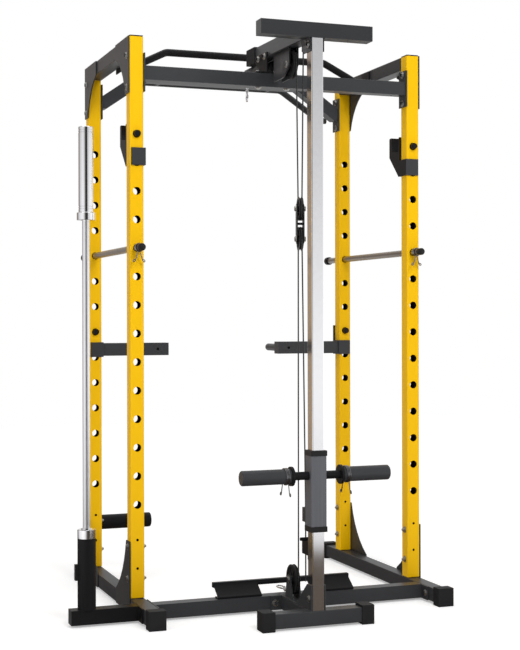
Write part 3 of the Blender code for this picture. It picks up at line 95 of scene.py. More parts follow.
def placed(name, data):
    """A new object for this data, in the scene."""
    obj = bpy.data.objects.new(name, data)
    bpy.context.scene.collection.objects.link(obj)
    return obj


def looking(place, direction):
    """The matrix of a camera or lamp at a place that looks along a direction."""
    return Matrix.Translation(place) @ direction.to_track_quat("-Z", "Y").to_matrix().to_4x4()


camera_data = bpy.data.cameras.new("photo_camera")
camera_data.sensor_width = SENSOR
camera_data.lens = FOCAL_PIXELS / PICTURE_LONG_SIDE * SENSOR
camera_data.shift_y = SHIFT_PIXELS / PICTURE_LONG_SIDE
camera = placed("photo_camera", camera_data)
ahead = Vector((math.sin(CAMERA_YAW), math.cos(CAMERA_YAW), 0))
camera.matrix_world = looking(CAMERA_PLACE, ahead) @ Matrix.Rotation(CAMERA_ROLL, 4, "Z")
bpy.context.scene.camera = camera
print("lens", round(camera_data.lens, 2), "mm")

# %% [markdown]
# Materials here are sums of a few fields, such as noise at two scales. Written with
# nodes alone, such sums are hard to read. A small class wraps a node's output, so that
# an ordinary expression like `0.4 + 0.1 * grain` adds the Math nodes by itself.

# %% Fields for shader maths
class Field:
    """One output of a node. Arithmetic on it adds Math nodes."""

    def __init__(self, board, socket):
        self.board = board
        self.socket = socket

    def maths(self, operation, first, second):
        return self.board.node("ShaderNodeMath", {"operation": operation}, {0: first, 1: second})

    def __add__(self, other):
        return self.maths("ADD", self, other)

    __radd__ = __add__

    def __sub__(self, other):
        return self.maths("SUBTRACT", self, other)

    def __rsub__(self, other):
        return self.maths("SUBTRACT", other, self)

    def __mul__(self, other):
        return self.maths("MULTIPLY", self, other)

    __rmul__ = __mul__


class Board:
    """A node tree under construction."""

    def __init__(self, tree):
        self.tree = tree

    def node(self, kind, settings=None, inputs=None, output=0):
        """Adds a node, sets it up, and gives back one of its outputs as a Field."""
        added = self.tree.nodes.new(kind)
        for key, value in (settings or {}).items():
            setattr(added, key, value)
        for key, value in (inputs or {}).items():
            self.feed(added.inputs[key], value)
        return Field(self, added.outputs[output])

    def feed(self, socket, value):
        if isinstance(value, Field):
            self.tree.links.new(value.socket, socket)
        else:
            socket.default_value = value

    def mix(self, factor, first, second):
        """A colour between two others, each a field or four numbers."""
        return self.node("ShaderNodeMix", {"data_type": "RGBA"},
                         {"Factor": factor, 6: first, 7: second}, output=2)


class Paint(Board):
    """A material under construction, with one Principled shader."""

    def __init__(self, name):
        self.material = bpy.data.materials.new(name)
        self.material.use_nodes = True
        super().__init__(self.material.node_tree)
        self.shader = self.tree.nodes["Principled BSDF"]

    def place(self):
        """Position on the object, in metres."""
        return self.node("ShaderNodeTexCoord", output="Object")

    def noise(self, scale, detail=2.0, stretch=(1, 1, 1)):
        where = self.place()
        if stretch != (1, 1, 1):
            where = self.node("ShaderNodeMapping", inputs={"Vector": where, "Scale": stretch})
        return self.node("ShaderNodeTexNoise",
                         inputs={"Vector": where, "Scale": scale, "Detail": detail})

    def blend(self, factor, first, second):
        """A colour between two plain colours."""
        return self.mix(factor, (*first, 1), (*second, 1))

    def bump(self, height, depth, strength=1.0):
        """Relief of this depth in metres where the height field runs from 0 to 1."""
        normal = self.node("ShaderNodeBump", output="Normal",
                           inputs={"Height": height, "Distance": depth, "Strength": strength})
        self.feed(self.shader.inputs["Normal"], normal)

    def surface(self, **values):
        """Sets the shader's own sockets. An underscore in a name stands for a space."""
        for key, value in values.items():
            self.feed(self.shader.inputs[key.replace("_", " ")], value)
        return self.material


# %% [markdown]
# Powder coat is baked plastic dust. It is smooth to the hand but never a mirror: it has
# a faint orange-peel skin a millimetre or two across and a fine grain that breaks up
# the highlight. Both are noise, one for the bump and one for the roughness.

# %% Powder coats
def powder_coat(name, colour, deep, roughness, peel, shine):
    paint = Paint(name)
    cloud = paint.noise(6.0, 3.0)
    skin = paint.noise(420.0, 2.0)
    grain = paint.noise(1500.0, 2.0)
    paint.bump(0.6 * skin + 0.4 * grain, peel)
    return paint.surface(
        Base_Color=paint.blend(cloud, deep, colour),
        Roughness=roughness + 0.10 * (grain - 0.5) + 0.06 * (cloud - 0.5),
        Specular_IOR_Level=shine,
    )


def front_sheen_coat():
    """The front of the carriage sleeve: a paler grey with light and dark streaks along the tube, a
    painted sheen and reflection. The fine lines are also a bump.
    """
    paint = Paint("front_sheen_powder_coat")
    lines = paint.noise(14.0, 3.0, (30, 30, 0.15))
    paint.bump(lines, 0.00025)
    return paint.surface(Base_Color=paint.blend(lines, (0.078, 0.080, 0.089), (0.130, 0.134, 0.147)),
                         Roughness=0.34 + 0.12 * lines, Specular_IOR_Level=0.35)


YELLOW = powder_coat("yellow_powder_coat", (0.93, 0.54, 0.002), (0.88, 0.49, 0.002),
                     roughness=0.38, peel=0.00006, shine=0.16)
CHARCOAL = powder_coat("charcoal_powder_coat", (0.041, 0.043, 0.046), (0.032, 0.033, 0.036),
                       roughness=0.40, peel=0.00012, shine=0.34)
BLACK = powder_coat("black_powder_coat", (0.011, 0.011, 0.012), (0.007, 0.007, 0.008),
                    roughness=0.44, peel=0.00012, shine=0.18)
FRONT_SHEEN = front_sheen_coat()
print("powder coats:", YELLOW.name, CHARCOAL.name, BLACK.name, FRONT_SHEEN.name)

# %% [markdown]
# Chrome is a mirror with the slight ripple of the tube under it. On the barbell's shaft
# it is satin, for the grip. Zinc on bolts is the same silver, but dull and faintly
# cloudy. Turned bar steel has fine rings from the lathe, which run round the bar, so its
# noise is stretched out across the axis. Spring wire has streaks from the drawing die.

# %% Metals
def chrome_plate(name, roughness):
    paint = Paint(name)
    ripple = paint.noise(9.0, 2.0, (1, 1, 0.25))
    haze = paint.noise(60.0, 4.0)
    paint.bump(ripple, 0.0006, 0.35)
    return paint.surface(Base_Color=paint.blend(haze, (0.80, 0.80, 0.81), (0.88, 0.88, 0.89)),
                         Metallic=1.0, Roughness=roughness + 0.05 * haze)


def zinc_plate():
    paint = Paint("zinc_plate")
    cloud = paint.noise(260.0, 3.0)
    paint.bump(paint.noise(1800.0), 0.00004)
    return paint.surface(Base_Color=paint.blend(cloud, (0.50, 0.49, 0.46), (0.70, 0.70, 0.68)),
                         Metallic=1.0, Roughness=0.28 + 0.16 * cloud)


def turned_steel():
    paint = Paint("turned_steel")
    rings = paint.noise(30.0, 2.0, (1, 40, 1))
    cloud = paint.noise(12.0, 3.0)
    paint.bump(rings, 0.00005)
    return paint.surface(Base_Color=paint.blend(cloud, (0.30, 0.28, 0.26), (0.42, 0.40, 0.38)),
                         Metallic=1.0, Roughness=0.30 + 0.12 * rings)


def spring_wire():
    """Drawn wire: grey and shiny, with fine streaks along it."""
    paint = Paint("spring_wire")
    streaks = paint.noise(500.0, 2.0)
    paint.bump(streaks, 0.00003)
    return paint.surface(Base_Color=paint.blend(streaks, (0.22, 0.22, 0.23), (0.36, 0.36, 0.37)),
                         Metallic=1.0, Roughness=0.24 + 0.12 * streaks)


CHROME, SATIN = chrome_plate("polished_chrome", 0.09), chrome_plate("satin_chrome", 0.36)
ZINC, STEEL, WIRE = zinc_plate(), turned_steel(), spring_wire()
print("metals:", CHROME.name, SATIN.name, ZINC.name, STEEL.name, WIRE.name)

# %% [markdown]
# The caps under the rails are moulded rubber, dull and a little dusty. The pulleys and
# the carriage's sliding bushes are nylon: also black, but with a soft sheen. The cable
# is steel rope in a thin plastic coat, and the twist of the rope shows through as a
# slanting ripple.

# %% Rubber, nylon and cable
def moulded(name, colour, pale, roughness, grain_depth):
    paint = Paint(name)
    cloud = paint.noise(25.0, 4.0)
    grain = paint.noise(900.0, 3.0)
    paint.bump(grain, grain_depth)
    return paint.surface(Base_Color=paint.blend(cloud, colour, pale),
                         Roughness=roughness + 0.10 * (cloud - 0.5) + 0.06 * (grain - 0.5),
                         Specular_IOR_Level=0.25)


def coated_rope():
    paint = Paint("rope_coat")
    twist = paint.node("ShaderNodeTexWave", {"bands_direction": "DIAGONAL"},
                       {"Vector": paint.place(), "Scale": 60.0, "Distortion": 0.4})
    paint.bump(twist, 0.00025)
    return paint.surface(Base_Color=paint.blend(twist, (0.012, 0.012, 0.013), (0.028, 0.028, 0.030)),
                         Roughness=0.34 + 0.10 * twist)


RUBBER = moulded("moulded_rubber", (0.012, 0.012, 0.013), (0.020, 0.020, 0.021), 0.66, 0.0002)
NYLON = moulded("black_nylon", (0.011, 0.011, 0.012), (0.018, 0.018, 0.019), 0.42, 0.00006)
ROPE = coated_rope()
print("dark finishes:", RUBBER.name, NYLON.name, ROPE.name)

# %% [markdown]
# Every new piece is finished in the same way: it gets its material, it rides on a body
# of the frame, and the plain nodes that it stands for are hidden. One helper does all
# three and keeps a count. A piece that bends between two bodies is given none here.

# %% Helpers for finishing a piece
made = []


def only(obj):
    """Selects this object alone and makes it active."""
    bpy.ops.object.select_all(action="DESELECT")
    obj.select_set(True)
    bpy.context.view_layer.objects.active = obj
    return obj


def settle(obj):
    """Puts the object's place and size into its mesh."""
    only(obj)
    bpy.ops.object.transform_apply(location=True, rotation=True, scale=True)
    return obj


def smoothed(obj, angle=35):
    only(obj)
    bpy.ops.object.shade_smooth_by_angle(angle=math.radians(angle))
    return obj


def outward(obj):
    """Merges doubles and turns every face outwards."""
    only(obj)
    bpy.ops.object.mode_set(mode="EDIT")
    bpy.ops.mesh.select_all(action="SELECT")
    bpy.ops.mesh.remove_doubles(threshold=1e-6)
    bpy.ops.mesh.normals_make_consistent(inside=False)
    bpy.ops.object.mode_set(mode="OBJECT")
    return obj


def finished(obj, name, material, body="rack", nodes=()):
    obj.name = name
    obj.data.materials.clear()
    obj.data.materials.append(material)
    if body:
        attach(obj, body)
    if nodes:
        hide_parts(*nodes)
    made.append(name)
    return obj


def middle(node):
    low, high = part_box(node)
    return (low + high) / 2


# %% [markdown]
# Bent and welded steel has no sharp edges. A rolled square tube has a corner radius of
# a few millimetres, and cut plate has its burr taken off. So a tube's long edges get a
# wide bevel and the rest a very narrow one. The shapes are those of the frame's nodes:
# a copy is merged into clean flat faces first. An edge counts as a tube's when both
# faces beside it are wide. Some pieces have two coats, so single faces get another.

# %% Rounded copies of the welded pieces
TUBE_CORNER = 0.0030
BURR = 0.0006
WIDE_FACE = 0.018
LONG_EDGE = 0.10
TUBE_TURN = math.radians(60)
BURR_TURN = math.radians(50)


def flat_copy(node):
    """A copy of a frame node with merged points and whole flat faces."""
    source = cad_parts[node]
    copy = only(placed(f"{node}_copy", source.data.copy()))
    bpy.ops.object.mode_set(mode="EDIT")
    bpy.ops.mesh.select_all(action="SELECT")
    bpy.ops.mesh.remove_doubles(threshold=2e-6)
    bpy.ops.mesh.dissolve_limited(angle_limit=math.radians(0.4))
    bpy.ops.mesh.select_all(action="DESELECT")
    bpy.ops.object.mode_set(mode="OBJECT")
    return copy


def faces_by_edge(mesh):
    beside = {}
    for face in mesh.polygons:
        for key in face.edge_keys:
            beside.setdefault(key, []).append(face)
    return beside


def select_edges(obj, wanted):
    """Selects the edges for which wanted(edge points, its two faces) is true."""
    mesh = obj.data
    beside = faces_by_edge(mesh)
    count = 0
    for edge in mesh.edges:
        faces = beside.get(tuple(sorted(edge.vertices)), [])
        ends = [mesh.vertices[v].co for v in edge.vertices]
        edge.select = len(faces) == 2 and wanted(ends, faces)
        count += edge.select
    return count


def opens_outward(ends, faces):
    """True on a convex edge: each face lies behind the other's plane."""
    return (faces[1].center - ends[0]).dot(faces[0].normal) < -1e-7


def tube_edge(ends, faces):
    length = (ends[1] - ends[0]).length
    if length < LONG_EDGE or not opens_outward(ends, faces):
        return False
    turn = faces[0].normal.angle(faces[1].normal)
    return turn > TUBE_TURN and all(face.area / length > WIDE_FACE for face in faces)


def burr_edge(ends, faces):
    length = (ends[1] - ends[0]).length
    turn = faces[0].normal.angle(faces[1].normal)
    return length > 4 * BURR and turn > BURR_TURN and opens_outward(ends, faces)


def standing_edge(least):
    """A test for edges whose ends differ more than this in height."""
    return lambda ends, faces: abs(ends[0].z - ends[1].z) > least


def bevel_selected(obj, width, segments):
    only(obj)
    bpy.ops.object.mode_set(mode="EDIT")
    bpy.ops.mesh.select_mode(type="EDGE")
    bpy.ops.mesh.bevel(offset=width, segments=segments, clamp_overlap=True)
    bpy.ops.object.mode_set(mode="OBJECT")


def even_shading(obj, angle=40):
    """Lets large flat faces keep their own shading beside narrow bevels."""
    smoothed(obj, angle)
    weigh = obj.modifiers.new("Even shading", "WEIGHTED_NORMAL")
    weigh.keep_sharp = True
    bpy.ops.object.modifier_apply(modifier=weigh.name)
    return obj


def welded_piece(node, material, body="rack", corner=TUBE_CORNER, angle=40):
    copy = flat_copy(node)
    for width, segments, wanted in ((corner, 3, tube_edge), (BURR, 1, burr_edge)):
        if width and select_edges(copy, wanted):
            bevel_selected(copy, width, segments)
    even_shading(copy, angle)
    return finished(copy, f"{node}_shell", material, body, [node])


for node in ("floor_rail_left", "floor_rail_right", "floor_cross_member", "side_beam_left",
             "side_beam_right", "near_top_beam", "boom", "tower_base"):
    welded_piece(node, CHARCOAL)


def partly(obj, material, chosen):
    """Gives one more material to the chosen faces."""
    obj.data.materials.append(material)
    for face in obj.data.polygons:
        if chosen(face):
            face.material_index = len(obj.data.materials) - 1


TOP_HOLE = 1.6863
DIP_HOLE = 0.9863
SAFETY_HOLE = 1.2863
PIN_REACH = 0.0175
SADDLE_FRONT = -0.205
for kind, pin_z in (("bar_hook", TOP_HOLE), ("dip_arm", DIP_HOLE)):
    for side, pin_x in (("left", -0.424), ("right", 0.650)):
        shell = welded_piece(f"{kind}_{side}", CHARCOAL, f"{kind}_{side}")
        partly(shell, BLACK, lambda face:
               math.hypot(face.center.x - pin_x, face.center.z - pin_z) < PIN_REACH
               or kind == "bar_hook" and (abs(face.normal.x) > 0.7 or face.center.y > SADDLE_FRONT))
for node in ("foot_rest", "storage_peg", "tail_guide", "boom_saddle"):
    welded_piece(node, BLACK)
welded_piece("bar_holder", BLACK, angle=20)
welded_piece("tower_post", CHROME)
TOWER_X = 0.093
SLEEVE_HALF = 0.034
BLACK_END = 0.107
SLEEVE_BACK = -0.575
carriage = welded_piece("carriage_sleeve", CHARCOAL, "carriage")
partly(carriage, BLACK, lambda face: SLEEVE_HALF < abs(face.center.x - TOWER_X) < BLACK_END)
# The sleeve's front faces get the paler streaked coat: a painted sheen and reflection on the front,
# over the charcoal that the rest keeps.
partly(carriage, FRONT_SHEEN, lambda face: abs(face.center.x - TOWER_X) <= SLEEVE_HALF
       and face.center.y < SLEEVE_BACK)
welded_piece("carriage_liner", NYLON, "carriage", 0.004)
print(len(made), "welded pieces rounded")

# %% [markdown]
# An upright is a square tube, drilled right through every 100 mm from near to far. A
# block gets its four long edges rolled round. A narrower block and a row of round bars
# are then taken out of it, as a saw and a drill would. The four are alike, so one is
# made and copied. The inside of the tube is bare and gets the black coat, darker than
# bare steel: painted shade inside the tube and in its holes.

# %% Uprights
UPRIGHTS = ("upright_near_left", "upright_near_right", "upright_far_left", "upright_far_right")
WALL = 0.002
UPRIGHT_CORNER = 0.0045
HOLES = [TOP_HOLE - 0.1 * number for number in range(14)]
HOLE_RADIUS = 0.014
BOLT_HOLES = [0.1633, 0.2633]
BOLT_HOLE_RADIUS = 0.005
DRILL_LENGTH = 0.08


def cube_between(low, high):
    """A block between two corners, at its real size and place."""
    bpy.ops.object.select_all(action="DESELECT")
    bpy.ops.mesh.primitive_cube_add(size=1)
    obj = bpy.context.object
    obj.scale = Vector(high) - Vector(low)
    obj.location = (Vector(high) + Vector(low)) / 2
    return settle(obj)


def copy_by(obj, shift):
    """A copy with its own mesh, moved by this much."""
    only(obj)
    bpy.ops.object.duplicate()
    copy = bpy.context.object
    copy.location = shift
    return settle(copy)


def joined(parts):
    only(parts[0])
    for part in parts[1:]:
        part.select_set(True)
    if len(parts) > 1:
        bpy.ops.object.join()
    return parts[0]


def taken_out(obj, cutter):
    """Cuts one solid out of another and deletes the cutter."""
    only(obj)
    cut = obj.modifiers.new("Cut", "BOOLEAN")
    cut.object = cutter
    cut.operation = "DIFFERENCE"
    cut.solver = "EXACT"
    bpy.ops.object.modifier_apply(modifier=cut.name)
    bpy.data.objects.remove(cutter)
    return obj


def round_bar(place, radius, length, turn, sides=24):
    bpy.ops.object.select_all(action="DESELECT")
    bpy.ops.mesh.primitive_cylinder_add(vertices=sides, radius=radius, depth=length,
                                        location=place, rotation=turn)
    return settle(bpy.context.object)


def drilled_upright(low, high):
    tube = cube_between(low, high)
    select_edges(tube, standing_edge(1))
    bevel_selected(tube, UPRIGHT_CORNER, 4)
    wall = Vector((WALL, WALL, -0.01))
    taken_out(tube, cube_between(low + wall, high - wall))
    centre = (low + high) / 2
    across = (math.pi / 2, 0, 0)
    drills = []
    for heights, radius, sides in ((HOLES, HOLE_RADIUS, 24), (BOLT_HOLES, BOLT_HOLE_RADIUS, 12)):
        drills += [round_bar((centre.x, centre.y, z), radius, DRILL_LENGTH, across, sides)
                   for z in heights]
    return taken_out(tube, joined(drills))


def inside_tube(spot, low, high):
    """True for a spot within the tube's wall, away from its ends."""
    margins = (0.6 * WALL, 0.6 * WALL, 0.001)
    return all(a + margin < s < b - margin for s, a, b, margin in zip(spot, low, high, margins))


upright_low, upright_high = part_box("upright_near_left")
pattern = drilled_upright(upright_low, upright_high)
for name in UPRIGHTS:
    low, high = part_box(name)
    piece = copy_by(pattern, low - upright_low)
    even_shading(piece)
    finished(piece, f"{name}_tube", YELLOW, "rack", [name])
    # The inner faces get the black coat: painted shade inside the tube and its holes, darker than its
    # bare steel.
    partly(piece, BLACK, lambda face: inside_tube(face.center, low, high))
bpy.data.objects.remove(pattern)
print("upright faces", len(piece.data.polygons))

# %% [markdown]
# Round pieces such as pulleys, collars and pegs come off a lathe. In Blender the same
# thing is a spin: a single point is extruded along the outline of half a section, and
# the outline is then spun round the axis. Every corner of the outline is cut a little,
# because no turned piece has a knife edge.

# %% Turned pieces
def pointing(place, axis):
    """The matrix that takes what is made round Z to a place, along an axis."""
    turn = Vector((0, 0, 1)).rotation_difference(Vector(axis))
    return Matrix.Translation(place) @ turn.to_matrix().to_4x4()


def spun(profile, place=(0, 0, 0), axis=(0, 0, 1), sides=32):
    """Spins an outline of (distance along the axis, radius)."""
    bpy.ops.object.select_all(action="DESELECT")
    bpy.ops.mesh.primitive_plane_add(size=0.001, location=(profile[0][1], 0, profile[0][0]))
    obj = settle(bpy.context.object)
    bpy.ops.object.mode_set(mode="EDIT")
    bpy.ops.mesh.select_mode(type="VERT")
    bpy.ops.mesh.select_all(action="SELECT")
    bpy.ops.mesh.merge(type="CENTER")
    for (start, inner), (end, outer) in zip(profile, profile[1:]):
        step = (outer - inner, 0, end - start)
        bpy.ops.mesh.extrude_region_move(TRANSFORM_OT_translate={"value": step})
    bpy.ops.mesh.select_all(action="SELECT")
    bpy.ops.mesh.spin(steps=sides, angle=2 * math.pi, center=(0, 0, 0), axis=(0, 0, 1))
    bpy.ops.object.mode_set(mode="OBJECT")
    outward(obj)
    obj.matrix_world = pointing(place, axis)
    return smoothed(settle(obj), 30)


def mirrored_profile(half):
    """An outline given from the middle outwards, repeated on the other side."""
    return [(-along, radius) for along, radius in reversed(half)] + half


# %% [markdown]
# A cable pulley is moulded nylon: a thick rim with a rounded groove, a thinner web and
# a hub round its bolt. The real ones have a few spokes in the web. They are thin blocks
# here, turned about the hub one by one, so that the wheel can be seen to turn.

# %% Pulleys
TWIST = math.radians(-12.6)
ACROSS = Vector((1, 0, 0))
BLOCK_ACROSS = Matrix.Rotation(TWIST, 3, "Z") @ ACROSS
REAR = Vector((TOWER_X, -0.373317, 1.931))
FRONT = Vector((TOWER_X, 0.062683, 1.953))
LOW = Vector((TOWER_X, -0.381817, 0.1225))
BLOCK_TOP = Vector((TOWER_X, -0.454317, 1.418))
BLOCK_LOW = Vector((TOWER_X, -0.454317, 1.313))
LARGE_WHEEL, FRONT_WHEEL, BLOCK_WHEEL = 0.052, 0.030, 0.042


def spoke(place, axis, start, end, depth, angle):
    """A rib of the web, as a bevelled bar that is turned about the hub."""
    rib = cube_between((-0.0016, start, -depth), (0.0016, end, depth))
    select_edges(rib, lambda ends, faces: True)
    bevel_selected(rib, 0.0008, 2)
    rib.matrix_world = pointing(place, axis) @ Matrix.Rotation(angle, 4, "Z")
    return settle(rib)


def cable_pulley(name, place, axis, radius, half_width):
    """A wheel with a groove, a web, a hub and six spokes, on the body of the same name."""
    side = half_width - 0.0004
    groove = [(0, 0.0055), (0.0018, 0.0052), (0.0034, 0.0034), (0.0050, 0.0003), (0.0058, 0),
              (0.0068, 0.0008), (0.0072, 0.009), (0.0036, 0.0115)]
    half = [(along, radius - below) for along, below in groove]
    half += [(0.0032, 0.0150), (side - 0.0006, 0.0132), (side, 0.0126), (side, 0.0058)]
    outline = mirrored_profile(half)
    wheel = spun(outline + [outline[0]], place, axis, 48)
    ribs = [spoke(place, axis, 0.0135, radius - 0.009, 0.0060, math.pi / 3 * step)
            for step in range(6)]
    whole = joined([wheel, *ribs])
    return finished(smoothed(whole, 30), f"{name}_wheel", NYLON, name, [name])


cable_pulley("rear_pulley", REAR, ACROSS, LARGE_WHEEL, 0.011)
cable_pulley("front_pulley", FRONT, ACROSS, FRONT_WHEEL, 0.011)
cable_pulley("low_pulley", LOW, ACROSS, LARGE_WHEEL, 0.011)
cable_pulley("block_pulley_upper", BLOCK_TOP, BLOCK_ACROSS, BLOCK_WHEEL, 0.009)
cable_pulley("block_pulley_lower", BLOCK_LOW, BLOCK_ACROSS, BLOCK_WHEEL, 0.009)
welded_piece("block_frame", BLACK, "block", 0)

# %% [markdown]
# The rack is bolted together with zinc-plated hexagon bolts, each on a flat washer. A
# hexagon is extruded for the head, its top edge is cut back, and the washer is spun.
# One bolt is made, and it is then copied to every place where the frame has one. A nut
# is the same shape with the bolt's end standing out of it.

# %% Bolts
WASHER = [(0, 0.0001), (0, 0.0121), (0.0003, 0.0125), (0.0009, 0.0125), (0.0012, 0.0121),
          (0.0012, 0.0001)]


def hexagon_bolt():
    """A bolt head on its washer, standing on z = 0 and pointing up."""
    bpy.ops.object.select_all(action="DESELECT")
    bpy.ops.mesh.primitive_circle_add(vertices=6, radius=0.0098, fill_type="NGON",
                                      location=(0, 0, 0.0008))
    head = settle(bpy.context.object)
    bpy.ops.object.mode_set(mode="EDIT")
    bpy.ops.mesh.select_all(action="SELECT")
    bpy.ops.mesh.extrude_region_move(TRANSFORM_OT_translate={"value": (0, 0, 0.0046)})
    bpy.ops.mesh.inset(thickness=0.0016, depth=0.0006)
    bpy.ops.object.mode_set(mode="OBJECT")
    outward(head)
    select_edges(head, standing_edge(0.004))
    bevel_selected(head, 0.0005, 2)
    return smoothed(joined([head, spun(WASHER, sides=24)]), 30)


bolt_pattern = hexagon_bolt()


def bolts(name, places, body="rack", stud=0):
    """Copies of the bolt at (point, outward direction), as one piece.

    A nut is one with a stud, which is how far the bolt's end stands out.
    """
    stud_end = [(0, 0.0001), (0, 0.0048), (stud - 0.001, 0.0048), (stud, 0.0038), (stud, 0.0001)]
    copies = []
    for point, direction in places:
        if stud:
            copies.append(spun(stud_end, point, direction, 16))
        copy = copy_by(bolt_pattern, (0, 0, 0))
        copy.matrix_world = pointing(point, direction)
        copies.append(settle(copy))
    return finished(joined(copies), name, ZINC, body)


NEAR_Y, FAR_Y = -0.1843, 0.4537


def both_ways(points, left_x, right_x, outward_sign):
    """The same (y, z) on the left and the right, facing apart (1) or each other (-1)."""
    return [((x, y, z), (way, 0, 0)) for x, way in ((left_x, -outward_sign), (right_x, outward_sign))
            for y, z in points]


gusset_points = [(y, z) for y in (NEAR_Y, FAR_Y) for z in (0.1253, 0.2373, 1.9633, 1.8513)]
bolts("gusset_bolts", both_ways(gusset_points, -0.4533, 0.6793, 1))
inner_points = [(-0.3633, 0.033), (-0.2473, 0.033), (NEAR_Y, 1.8493), (NEAR_Y, 1.9573),
                (FAR_Y, 1.8413), (FAR_Y, 1.9493)]
bolts("end_plate_bolts", both_ways(inner_points, -0.3937, 0.6197, -1))
nut_points = [(y, z) for y in (NEAR_Y, FAR_Y) for z in (0.1253, 0.2373)]
bolts("upright_nuts", both_ways(nut_points, -0.3990, 0.6250, -1), stud=0.012)
saddle_places = [((x, NEAR_Y, 1.9336), (0, 0, 1)) for x in (0.038, 0.148)]
saddle_places += [((x, NEAR_Y, 1.8783), (0, 0, -1)) for x in (0.038, 0.148)]
saddle_places += both_ways([(NEAR_Y, 1.9931), (-0.1193, 1.9942)], 0.0627, 0.1233, 1)
bolts("saddle_bolts", saddle_places)
tower_places = [((x, -0.3356, 0.033), (0, -1, 0)) for x in (0.045, 0.141)]
tower_places += both_ways([(-0.5923, 0.096)], 0.0672, 0.1188, 1)
tower_places += both_ways([(-0.5923, 1.9593)], 0.0682, 0.1178, 1)
bolts("tower_bolts", tower_places)


def axle_ends(centres, axis, reach):
    return [(centre + way * reach, way) for centre in centres for way in (-axis, axis)]


bolts("pulley_bolts", axle_ends((REAR, FRONT, LOW), ACROSS, 0.018))
bolts("block_bolts", axle_ends((BLOCK_TOP, BLOCK_LOW), BLOCK_ACROSS, 0.0132), "block")
bpy.data.objects.remove(bolt_pattern)

# %% [markdown]
# The cables are thin steel rope, always pulled tight, so each straight run is a tube
# with points only at its two ends. A run between the frame and the moving block rides
# on no body here. Where a cable lies round a pulley it is an arc.

# %% Cables
ROPE_RADIUS = 0.0025
SEAT = 0.002
LEAD = Vector((0, 0, 0.003))
JOINT = Vector((0, 0, 0.0003))


def round_curve(name, radius, sides, capped=True):
    curve = bpy.data.curves.new(name, "CURVE")
    curve.dimensions = "3D"
    curve.bevel_depth = radius
    curve.bevel_resolution = sides
    curve.use_fill_caps = capped
    return curve


def curve_mesh(curve):
    only(placed(curve.name, curve))
    bpy.ops.object.convert(target="MESH")
    return bpy.context.object


def wire(name, points, radius, closed=False):
    """A round wire along these points, as a mesh."""
    curve = round_curve(name, radius, 3, not closed)
    line = curve.splines.new("POLY")
    line.points.add(len(points) - 1)
    for knot, point in zip(line.points, points):
        knot.co = (*point, 1)
    line.use_cyclic_u = closed
    return smoothed(outward(curve_mesh(curve)), 50)


def round_pulley(centre, radius, start, end, twist=0.0, steps=24):
    """Points round a pulley, with angles in degrees from +Y towards +Z."""
    points = []
    for step in range(steps + 1):
        angle = math.radians(start + (end - start) * step / steps)
        arm = Vector((0, radius * math.cos(angle), radius * math.sin(angle)))
        points.append(centre + Matrix.Rotation(twist, 3, "Z") @ arm)
    return points


def rope(node, points, body):
    return finished(wire(node, points, ROPE_RADIUS), f"{node}_rope", ROPE, body, [node])


over = round_pulley(REAR, LARGE_WHEEL - SEAT, 180, 90)
over += round_pulley(FRONT, FRONT_WHEEL - SEAT, 90, 0)
over = [over[0] - LEAD, *over, over[-1] - LEAD]
under = round_pulley(BLOCK_TOP, BLOCK_WHEEL - SEAT, 180, 360, TWIST)
under = [under[0] + LEAD, *under, under[-1] + LEAD]
across = round_pulley(BLOCK_LOW, BLOCK_WHEEL - SEAT, 180, 0, TWIST)
across = [across[0] - LEAD, *across, across[-1] - LEAD]
below = round_pulley(LOW, LARGE_WHEEL - SEAT, 180, 270)
below = [below[0] + LEAD, *below]
rope("cable_over_boom", over, "rack")
rope("cable_under_block_pulley", under, "block")
rope("cable_over_block_pulley", across, "block")
rope("cable_under_low_pulley", below, "rack")
CLAMP_Y = -0.499317
rope("cable_tail", [(TOWER_X, CLAMP_Y, 0.3417), (TOWER_X, CLAMP_Y, 0.1357)], "carriage")


def tight_rope(node, fixed, moving):
    """A straight run from a fixed end to one that moves."""
    obj = rope(node, [fixed, moving], None)
    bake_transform(obj)
    return obj


anchor = Vector((TOWER_X, -0.487317, 1.955))
tight_rope("cable_rear_pulley_to_block", over[0] - JOINT, under[-1] + JOINT)
tight_rope("cable_anchor_to_block", anchor - JOINT, under[0] + JOINT)
tight_rope("cable_block_to_low_pulley", below[0] + JOINT, across[-1] - JOINT)
hook_end = over[-1] - Vector((0, 0, 0.021))
tight_rope("cable_front_to_carabiner", over[-1] - JOINT, hook_end + JOINT)
row_end = below[-1] + Vector((0, 0.052, 0))
row_rope = wire("row_run", [below[-1], row_end], ROPE_RADIUS)
finished(row_rope, "cable_row_run_rope", ROPE, None, ["cable_under_low_pulley"])
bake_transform(row_rope)
clamp = Vector((TOWER_X, CLAMP_Y, 0.3913))
lift_rope = rope("cable_block_to_carriage", [across[0] - JOINT, clamp], "block")
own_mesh(lift_rope)
over_length = sum((end - start).length for start, end in zip(over, over[1:]))
print("cable over the boom:", round(over_length, 3), "m")

# %% [markdown]
# A snap hook hangs on the end of each cable: a crimped ferrule, the eye of the rope and
# an oval ring with a gate in one side. Ring and eye are wires on a closed path, and the
# gate is a spun sleeve over the ring's straight side.

# %% Snap hooks
RING_WIRE = 0.00275
EYE_WIRE = 0.0020
HOOK_PARTS = 110


